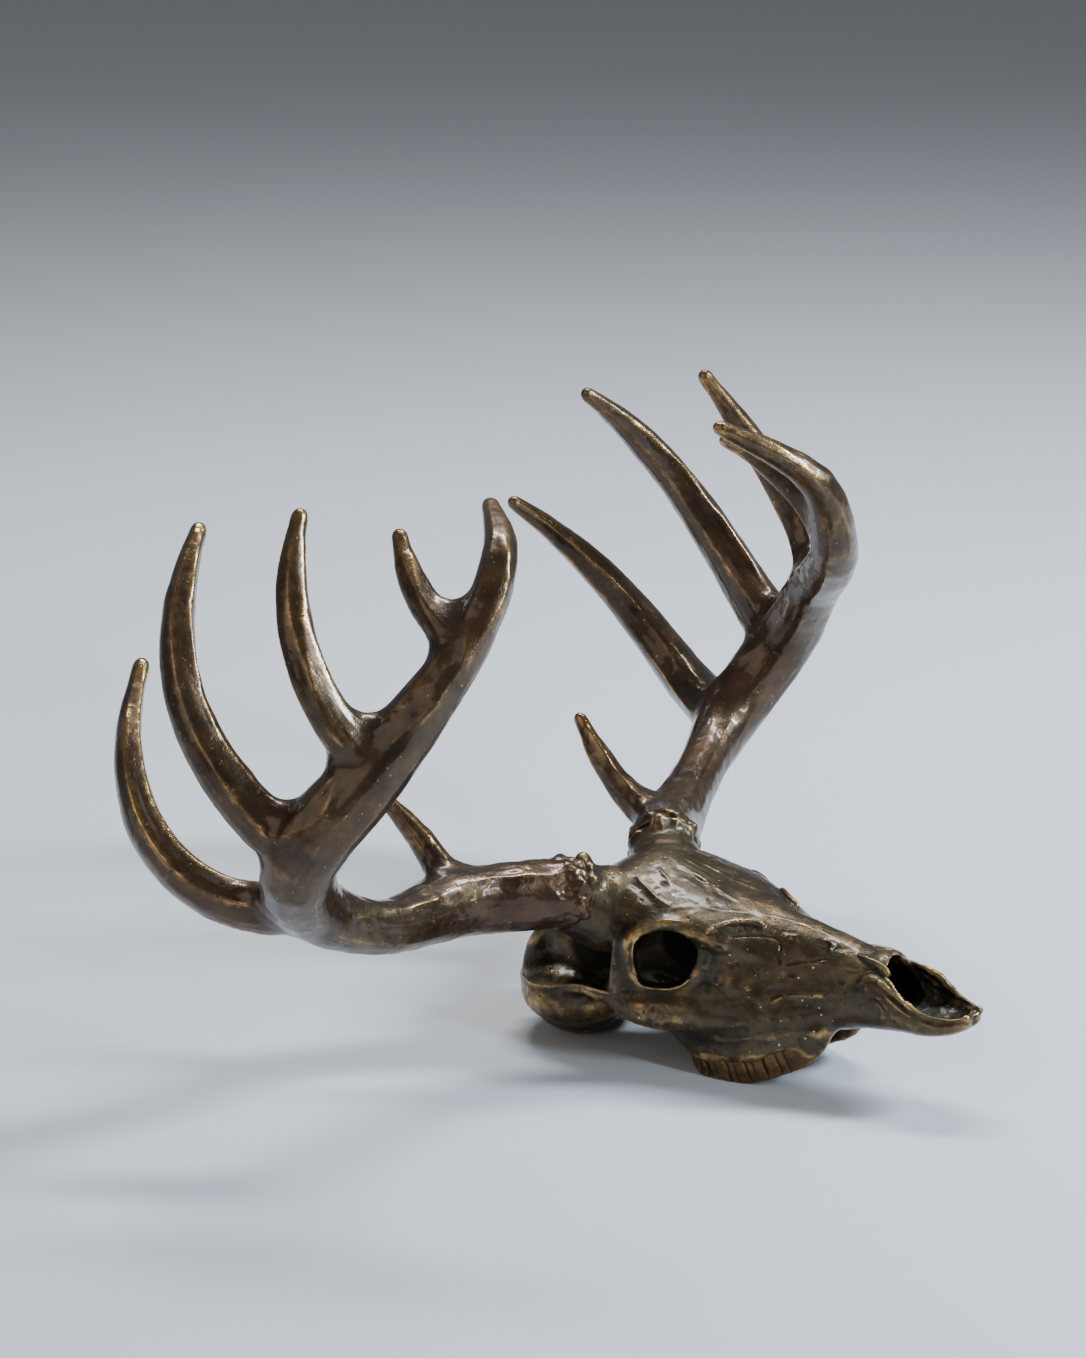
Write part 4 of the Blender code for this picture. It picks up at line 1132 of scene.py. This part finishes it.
class DEERSKULL_OT_teeth(bpy.types.Operator):
    """Model both rows of upper teeth"""

    bl_idname = "deer_skull.teeth"
    bl_label = "Teeth"

    def execute(self, context):
        sizes = context.scene.cast_sizes
        material = bronze("tooth bronze", context.scene.bronze_colours.tooth)
        for name, side in SIDES.items():
            row = tooth_row(side)
            refine(row, sizes.tooth_cell, smoothing=2)
            model_tooth_skin(row, sizes.lumpiness)
            thin_out(row, sizes.triangles // 2)
            flatten_under(row)
            paint_edges(row, fine=4, broad=24)
            finish(row, "tooth_row_" + name, material, ("teeth_" + name,))
        return {"FINISHED"}


# --- the antlers ----------------------------------------------------------------------

def antler_bars(side_name, steps=120):
    """The centre line and the radii of the beam and of each tine, up to just before its tip."""
    shape = ANTLER_POINTS[side_name]
    thickness = ANTLER_RADII[side_name]
    bars = {"beam": (smooth_line(shape["beam"], steps)[:-1], smooth_numbers(thickness["beam"], steps)[:-1])}
    share = np.linspace(0, 1, steps + 1)[:, None]
    for name, start in TINE_ROOTS.items():
        root = np.array(shape["beam"][start], float)
        near, far, tip = (np.array(point, float) for point in shape[name])
        line = (root * (1 - share) ** 3 + 3 * near * share * (1 - share) ** 2
                + 3 * far * share ** 2 * (1 - share) + tip * share ** 3)
        bars[name] = (line[:-2], smooth_numbers(thickness[name], steps)[:-2])
    return {name: (line, np.maximum(radii, BLUNT_TIP)) for name, (line, radii) in bars.items()}


def antler_form(side_name, bars):
    """The bars of one antler fused into one skin with webs in its forks, and its burr."""
    side = SIDES[side_name]
    clay = Clay()
    add_ball(clay, BURR_CENTRE, BURR_CORE, side)
    for line, radii in bars.values():
        add_round_bar(clay, np.vstack((line[:-4:4], line[-1])), (*radii[:-4:4], radii[-1]), side, around=28)
    antler = to_object(clay, "antler_" + side_name)
    fuse(antler, cell=2.0, fillet=WEB, smoothing=3, regain=0.6)
    clay = Clay()
    add_ball(clay, BURR_CENTRE, BURR_RADII, side, spin=facing(BURR_AXIS, side), around=36)
    add_nodules(clay, side, side_name, BURR_ROWS)
    press_on(antler, clay)
    fuse(antler, cell=1.3, fillet=2.6, smoothing=1, regain=0.2)
    return antler


def press_to_seat(antler, side):
    """Press the antler flat where it stands on its pedicle."""
    points = read_points(antler, side)
    axis = np.array(Vector(BURR_AXIS).normalized())
    height = (points - BURR_CENTRE) @ axis + BURR_SEAT
    write_points(antler, points - np.minimum(height, 0)[:, None] * axis, side)


def faceted(angle, edges):
    """How far a round bar of radius 1 is pressed in between the edges that run along it."""
    pressed = np.zeros(len(angle))
    turns = [math.radians(edge) for edge in edges]
    for start, end in zip(turns, turns[1:] + [turns[0] + 2 * math.pi]):
        half = (end - start) / 2
        off = (angle - start) % (2 * math.pi) - half
        within = np.abs(off) <= half
        pressed[within] = 1 - math.cos(min(half, 1.0)) / np.cos(off[within] * min(half, 1.0) / half)
    return pressed


def bar_relief(points, bar, facets, number):
    """How far every point lies off the bar, how far along it, and the relief of its skin there."""
    line, radii = bar
    edges, flatness = facets
    squares = (points ** 2).sum(1)[:, None] + (line ** 2).sum(1) - 2 * points @ line.T
    index = squares.argmin(1)
    radius = radii[index]
    gap = np.sqrt(np.maximum(squares[np.arange(len(points)), index], 0)) - radius
    ways, firsts, seconds = frames_along(line)
    off = points - line[index]
    angle = np.arctan2((off * seconds[index]).sum(1), (off * firsts[index]).sum(1))
    lengths = np.concatenate(((0,), np.cumsum(np.linalg.norm(np.diff(line, axis=0), axis=1))))
    along = lengths[index] + (off * ways[index]).sum(1)
    # The edges wander as they run along, and the sides between them are pressed in.
    here = np.stack((along, np.zeros(len(along)), np.full(len(along), 50.0 * number)), axis=1)
    wander = lumps(here, ((0.14, 40, 20 + number), (0.03, 12, 30 + number)))
    flat = flatness * radius * step(lengths[-1] - along, *TIP_FADE)
    relief = flat * (MEAN_FACET - faceted(angle + wander, edges))
    # Long furrows: noise that is drawn out along the bar.
    drawn = np.stack((along * 0.10, np.cos(angle) * radius * 0.8, np.sin(angle) * radius * 0.8), axis=1)
    relief += lumps(drawn + 90 * number, FURROWS) * step(radius, 3.0, 8.0)
    return gap, along, relief


def model_antler_skin(antler, side_name, bars, lumpiness):
    """Give the antler its facets, furrows, ridges and lumps."""
    points = read_points(antler, SIDES[side_name])
    best = np.full(len(points), 1e9)
    second = best.copy()
    relief = np.zeros(len(points))
    rough = np.zeros(len(points))
    for number, (name, bar) in enumerate(bars.items()):
        gap, along, value = bar_relief(points, bar, EDGES[side_name][name], number)
        closer = gap < best
        second = np.where(closer, best, np.minimum(second, gap))
        best = np.where(closer, gap, best)
        relief = np.where(closer, value, relief)
        rough_here = 1 - step(along, *SMOOTH_BEAM) if name == "beam" else float(name == "brow_tine")
        rough = np.where(closer, rough_here, rough)
    height = relief * step(second - best, *FORK_FADE)
    for line in RIDGES[side_name]:
        ridge(points, height, RIDGE_WIDTH, RIDGE_HEIGHT, line)
    height += lumpiness * lumps(points, ANTLER_LUMPS)
    height += lumpiness * rough * (0.75 * cloud(points, 11, 54) + 0.30 * np.abs(cloud(points, 5, 55)))
    on_burr = 1 - step(np.linalg.norm(points - BURR_CENTRE, axis=1), *BURR_REACH)
    height += on_burr * (lumps(points, BURR_LUMPS) - relief * 0.8)
    height -= pits(points, *ANTLER_PITS)
    raise_skin(antler, height)


class DEERSKULL_OT_antlers(bpy.types.Operator):
    """Model both antlers, each one skin from its burr to its six points"""

    bl_idname = "deer_skull.antlers"
    bl_label = "Antlers"

    def execute(self, context):
        sizes = context.scene.cast_sizes
        material = bronze("antler bronze", context.scene.bronze_colours.brown)
        for side_name, side in SIDES.items():
            bars = antler_bars(side_name)
            antler = antler_form(side_name, bars)
            refine(antler, sizes.antler_cell, smoothing=2)
            model_antler_skin(antler, side_name, bars, sizes.lumpiness)
            press_to_seat(antler, side)
            thin_out(antler, sizes.triangles)
            # The burr is rubbed less than the rest.
            off_burr = step(np.linalg.norm(read_points(antler, side) - BURR_CENTRE, axis=1), 18, 34)
            paint_edges(antler, fine=5, broad=36, rubbing=0.5 + 0.5 * off_burr)
            nodes = ["antler_" + side_name + "_" + piece for piece in ANTLER_PIECES]
            finish(antler, "antler_cast_" + side_name, material, nodes)
        return {"FINISHED"}


# --- the bronze -----------------------------------------------------------------------

def add_node(tree, kind, inputs=None, **settings):
    """Place a node, set it, and fill or join its sockets."""
    node = tree.nodes.new(kind)
    for name, value in settings.items():
        setattr(node, name, value)
    for name, value in (inputs or {}).items():
        if isinstance(value, bpy.types.NodeSocket):
            tree.links.new(value, node.inputs[name])
        else:
            node.inputs[name].default_value = value
    return node


def maths(tree, operation, a, b, clamp=False):
    """One step of arithmetic with two values."""
    return add_node(tree, "ShaderNodeMath", {0: a, 1: b}, operation=operation, use_clamp=clamp).outputs[0]


def times(tree, a, b, clamp=False):
    """The product of two values."""
    return maths(tree, "MULTIPLY", a, b, clamp)


def spread(tree, value, low, high, to_low=0.0, to_high=1.0):
    """The value read from one range into another."""
    node = add_node(tree, "ShaderNodeMapRange", {"Value": value, "From Min": low, "From Max": high,
                                                 "To Min": to_low, "To Max": to_high})
    return node.outputs["Result"]


def blended(tree, share, a, b):
    """The first colour at share 0, the second at share 1, and a mix between."""
    return add_node(tree, "ShaderNodeMix", {0: share, 6: a, 7: b}, data_type="RGBA").outputs[2]


def shaded(tree, colour, value):
    """The colour made darker or lighter by the value."""
    grey = add_node(tree, "ShaderNodeCombineColor", {"Red": value, "Green": value, "Blue": value})
    return add_node(tree, "ShaderNodeMix", {0: 1.0, 6: colour, 7: grey.outputs[0]}, data_type="RGBA",
                    blend_type="MULTIPLY").outputs[2]


def place_on_object(tree):
    """Where on its own object each point lies, so that patterns stay with the cast."""
    return add_node(tree, "ShaderNodeTexCoord").outputs["Object"]


def noise_of(tree, where, pattern, detail=4.0, roughness=0.55, distortion=0.0):
    """Soft noise as fine as the named pattern."""
    node = add_node(tree, "ShaderNodeTexNoise", {"Vector": where, "Scale": FINENESS[pattern], "Detail": detail,
                                                 "Roughness": roughness, "Distortion": distortion})
    return node.outputs["Fac"]


def spots_of(tree, where, pattern, edge, middle, some):
    """Small round spots in groups: 1 in the middle of a spot and 0 outside."""
    cells = add_node(tree, "ShaderNodeTexVoronoi", {"Vector": where, "Scale": FINENESS[pattern]})
    groups = spread(tree, noise_of(tree, where, "groups of " + pattern, 2), *some)
    return times(tree, spread(tree, cells.outputs["Distance"], edge, middle), groups)


def new_group(name, inputs, outputs):
    """A node group with its named sockets, and the nodes inside that carry them."""
    tree = bpy.data.node_groups.new(name, "ShaderNodeTree")
    for label, kind, default in inputs:
        tree.interface.new_socket(label, in_out="INPUT", socket_type=kind).default_value = default
    for label, kind in outputs:
        tree.interface.new_socket(label, in_out="OUTPUT", socket_type=kind)
    return tree, tree.nodes.new("NodeGroupInput").outputs, tree.nodes.new("NodeGroupOutput").inputs


def rubbed_mask(tree, where, given):
    """Where the patina is rubbed through: on edges in broken stretches, and in faint smudges."""
    broken = spread(tree, noise_of(tree, where, "broken edges", 4, 0.6), 0.34, 0.62, 0.35, 1.2)
    stretches = spread(tree, noise_of(tree, where, "rubbed stretches", 3, 0.5), 0.42, 0.60, 0.25, 1.25)
    edges = times(tree, spread(tree, given["Worn"], 0.42, 1.15), given["Rubbing"])
    edges = times(tree, times(tree, edges, stretches), broken, clamp=True)
    smudges = spread(tree, noise_of(tree, where, "smudges", 5, 0.62), 0.56, 0.74, 0.0, 0.30)
    smudges = times(tree, times(tree, smudges, broken), given["Smudges"])
    return maths(tree, "MAXIMUM", edges, smudges)


def patina_group():
    """Brown and olive patina, rubbed to bronze on the edges, and black in the hollows as dark patina and
    painted shade.
    """
    if "patina" in bpy.data.node_groups:
        return bpy.data.node_groups["patina"]
    number, colour = "NodeSocketFloat", "NodeSocketColor"
    tree, given, out = new_group(
        "patina",
        (("Brown", colour, (0.04, 0.02, 0.01, 1)), ("Olive", colour, (0.04, 0.04, 0.02, 1)),
         ("Gold", colour, (0.4, 0.2, 0.1, 1)), ("Black", colour, (0.01, 0.01, 0.01, 1)),
         ("Worn", number, 0.0), ("Hollow", number, 0.0), ("Recess", number, 0.0),
         ("Rubbing", number, 1.0), ("Smudges", number, 0.3), ("Olive Share", number, 0.5),
         ("Flecks", number, 0.5), ("Mattness", number, 0.3), ("Waxing", number, 0.5)),
        (("Colour", colour), ("Roughness", number), ("Metal", number), ("Wax", number)))
    where = place_on_object(tree)
    rubbed = rubbed_mask(tree, where, given)
    flecks = times(tree, spots_of(tree, where, "flecks", 0.16, 0.07, (0.52, 0.60)), given["Flecks"], clamp=True)

    patches = spread(tree, noise_of(tree, where, "olive patches", 5, 0.62, 0.8), 0.34, 0.70)
    tone = blended(tree, times(tree, patches, given["Olive Share"]), given["Brown"], given["Olive"])
    cloudy = spread(tree, noise_of(tree, where, "cloudiness", 5, 0.6, 0.3), 0.3, 0.72, 0.5, 1.6)
    tone = shaded(tree, tone, cloudy)
    tone = blended(tree, rubbed, tone, given["Gold"])
    tone = blended(tree, flecks, tone, FLECK)
    # Painted shade over the dark patina: black in the creases that the relief finds, and in the deep recesses.
    dark = maths(tree, "MAXIMUM", times(tree, given["Hollow"], 0.85), given["Recess"])
    tree.links.new(blended(tree, dark, tone, given["Black"]), out["Colour"])

    rough = spread(tree, noise_of(tree, where, "gloss", 4, 0.6), 0.25, 0.75, -0.06, 0.06)
    rough = maths(tree, "ADD", rough, given["Mattness"])
    rough = maths(tree, "ADD", rough, times(tree, given["Hollow"], 0.2))
    rough = maths(tree, "SUBTRACT", rough, times(tree, rubbed, 0.14))
    tree.links.new(maths(tree, "ADD", rough, times(tree, given["Recess"], 0.25)), out["Roughness"])

    bare = maths(tree, "MAXIMUM", rubbed, flecks)
    tree.links.new(spread(tree, bare, 0.0, 0.6, 0.74, 0.97), out["Metal"])
    wax = spread(tree, noise_of(tree, where, "wax", 3, 0.5), 0.25, 0.75, 0.6, 1.2)
    wax = times(tree, wax, given["Waxing"], clamp=True)
    tree.links.new(times(tree, wax, maths(tree, "SUBTRACT", 1.0, given["Recess"])), out["Wax"])
    return tree


def grain_group():
    """Relief too fine for the mesh: brushed wax, casting grain and pinholes."""
    if "casting grain" in bpy.data.node_groups:
        return bpy.data.node_groups["casting grain"]
    number = "NodeSocketFloat"
    tree, given, out = new_group(
        "casting grain",
        (("Brushing", number, 0.5), ("Grain", number, 0.5), ("Pinholes", number, 0.5)),
        (("Height", number),))
    where = place_on_object(tree)
    brushed = times(tree, noise_of(tree, where, "brushing", 5, 0.6, 0.9), given["Brushing"])
    grain = times(tree, noise_of(tree, where, "grain", 4, 0.65), given["Grain"])
    holes = times(tree, spots_of(tree, where, "pinholes", 0.22, 0.05, (0.5, 0.62)), given["Pinholes"])
    tree.links.new(maths(tree, "SUBTRACT", maths(tree, "ADD", brushed, grain), holes), out["Height"])
    return tree


def bronze(name, brown):
    """One bronze: the shared patina and casting grain with this surface's own values."""
    colours = bpy.context.scene.bronze_colours
    patina_values, grain_values, wax_roughness = FINISHES[name]
    material = bpy.data.materials.new(name)
    material.use_nodes = True
    tree = material.node_tree
    painted = {label: add_node(tree, "ShaderNodeAttribute", attribute_name=label.lower()).outputs["Fac"]
               for label in ("Worn", "Hollow", "Recess")}
    chosen = {"Brown": brown, "Olive": colours.olive, "Gold": colours.gold, "Black": colours.black}
    chosen = {label: (*colour, 1.0) for label, colour in chosen.items()}
    patina = add_node(tree, "ShaderNodeGroup", {**chosen, **painted, **patina_values}, node_tree=patina_group())
    grain = add_node(tree, "ShaderNodeGroup", grain_values, node_tree=grain_group())
    bump = add_node(tree, "ShaderNodeBump",
                    {"Height": grain.outputs["Height"], "Strength": 0.6, "Distance": 0.6 * MM})
    shader = tree.nodes["Principled BSDF"]
    for socket, output in (("Base Color", "Colour"), ("Roughness", "Roughness"), ("Metallic", "Metal"),
                           ("Coat Weight", "Wax")):
        tree.links.new(patina.outputs[output], shader.inputs[socket])
    tree.links.new(bump.outputs["Normal"], shader.inputs["Normal"])
    shader.inputs["Coat Roughness"].default_value = wax_roughness
    shader.inputs["Coat IOR"].default_value = 1.48
    shader.inputs["Specular IOR Level"].default_value = 0.45
    return material


# --- the stage ------------------------------------------------------------------------

def add_light(name, where, power, size, colour):
    """Add a soft square-cornered light that faces the cast."""
    light = bpy.data.lights.new(name, "AREA")
    light.shape = "RECTANGLE"
    light.size, light.size_y = size
    light.energy = power
    light.color = colour
    holder = bpy.data.objects.new(name, light)
    holder.location = where
    holder.rotation_euler = (Vector(LIGHTS_AIM) - Vector(where)).to_track_quat("-Z", "Y").to_euler()
    bpy.context.scene.collection.objects.link(holder)


def add_floor(colour):
    """Add the plain pale floor that the cast stands on."""
    shell = bmesh.new()
    bmesh.ops.create_grid(shell, x_segments=8, y_segments=8, size=FLOOR_REACH)
    mesh = bpy.data.meshes.new("floor")
    shell.to_mesh(mesh)
    shell.free()
    floor = bpy.data.objects.new("floor", mesh)
    bpy.context.scene.collection.objects.link(floor)
    material = bpy.data.materials.new("plain floor")
    material.use_nodes = True
    shader = material.node_tree.nodes["Principled BSDF"]
    shader.inputs["Base Color"].default_value = (*colour, 1.0)
    shader.inputs["Roughness"].default_value = 0.9
    shader.inputs["Specular IOR Level"].default_value = 0.2
    mesh.materials.append(material)


def add_camera(stage):
    """Add the camera at the photograph's viewing angle."""
    data = bpy.data.cameras.new("camera")
    data.sensor_fit = "VERTICAL"
    data.sensor_height = FRAME_HEIGHT
    data.lens = LENS
    data.clip_end = 200.0
    camera = bpy.data.objects.new("camera", data)
    level = math.cos(stage.elevation)
    way = Vector((math.sin(stage.azimuth) * level, -math.cos(stage.azimuth) * level, math.sin(stage.elevation)))
    camera.location = Vector(stage.target) + way * stage.distance
    camera.rotation_euler = (-way).to_track_quat("-Z", "Y").to_euler()
    bpy.context.scene.collection.objects.link(camera)
    bpy.context.scene.camera = camera


def add_sky(strength):
    """Light the scene softly from all round."""
    world = bpy.data.worlds.new("studio")
    world.use_nodes = True
    sky = world.node_tree.nodes["Background"]
    sky.inputs["Color"].default_value = SKY_COLOUR
    sky.inputs["Strength"].default_value = strength
    bpy.context.scene.world = world


class DEERSKULL_OT_stage(bpy.types.Operator):
    """Set the floor, the soft lights and the camera"""

    bl_idname = "deer_skull.stage"
    bl_label = "Stage"

    def execute(self, context):
        stage = context.scene.stage_light
        add_floor(stage.floor)
        add_camera(stage)
        for name, where, size, colour in LIGHTS:
            add_light(name + " light", where, getattr(stage, name), size, colour)
        add_sky(stage.sky)
        return {"FINISHED"}


class DEERSKULL_PT_panel(bpy.types.Panel):
    """Lists the pieces of the cast, their sizes and their colours"""

    bl_label = "Deer Skull"
    bl_idname = "DEERSKULL_PT_panel"
    bl_space_type = "VIEW_3D"
    bl_region_type = "UI"
    bl_category = "Deer Skull"

    def draw(self, context):
        for group in (context.scene.cast_sizes, context.scene.bronze_colours, context.scene.stage_light):
            box = self.layout.box()
            for name in group.__annotations__:
                box.prop(group, name)
        for operator in OPERATORS:
            self.layout.operator(operator.bl_idname)


OPERATORS = (DEERSKULL_OT_skull, DEERSKULL_OT_teeth, DEERSKULL_OT_antlers, DEERSKULL_OT_stage)
CLASSES = (CastSizes, BronzeColours, StageLight, *OPERATORS, DEERSKULL_PT_panel)


def register():
    for cls in CLASSES:
        bpy.utils.register_class(cls)
    bpy.types.Scene.cast_sizes = bpy.props.PointerProperty(type=CastSizes)
    bpy.types.Scene.bronze_colours = bpy.props.PointerProperty(type=BronzeColours)
    bpy.types.Scene.stage_light = bpy.props.PointerProperty(type=StageLight)


def unregister():
    for name in ("cast_sizes", "bronze_colours", "stage_light"):
        delattr(bpy.types.Scene, name)
    for cls in reversed(CLASSES):
        bpy.utils.unregister_class(cls)


def main():
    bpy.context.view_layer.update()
    register()
    bpy.ops.deer_skull.skull()
    bpy.ops.deer_skull.teeth()
    bpy.ops.deer_skull.antlers()
    bpy.ops.deer_skull.stage()


if __name__ == "__main__":
    main()
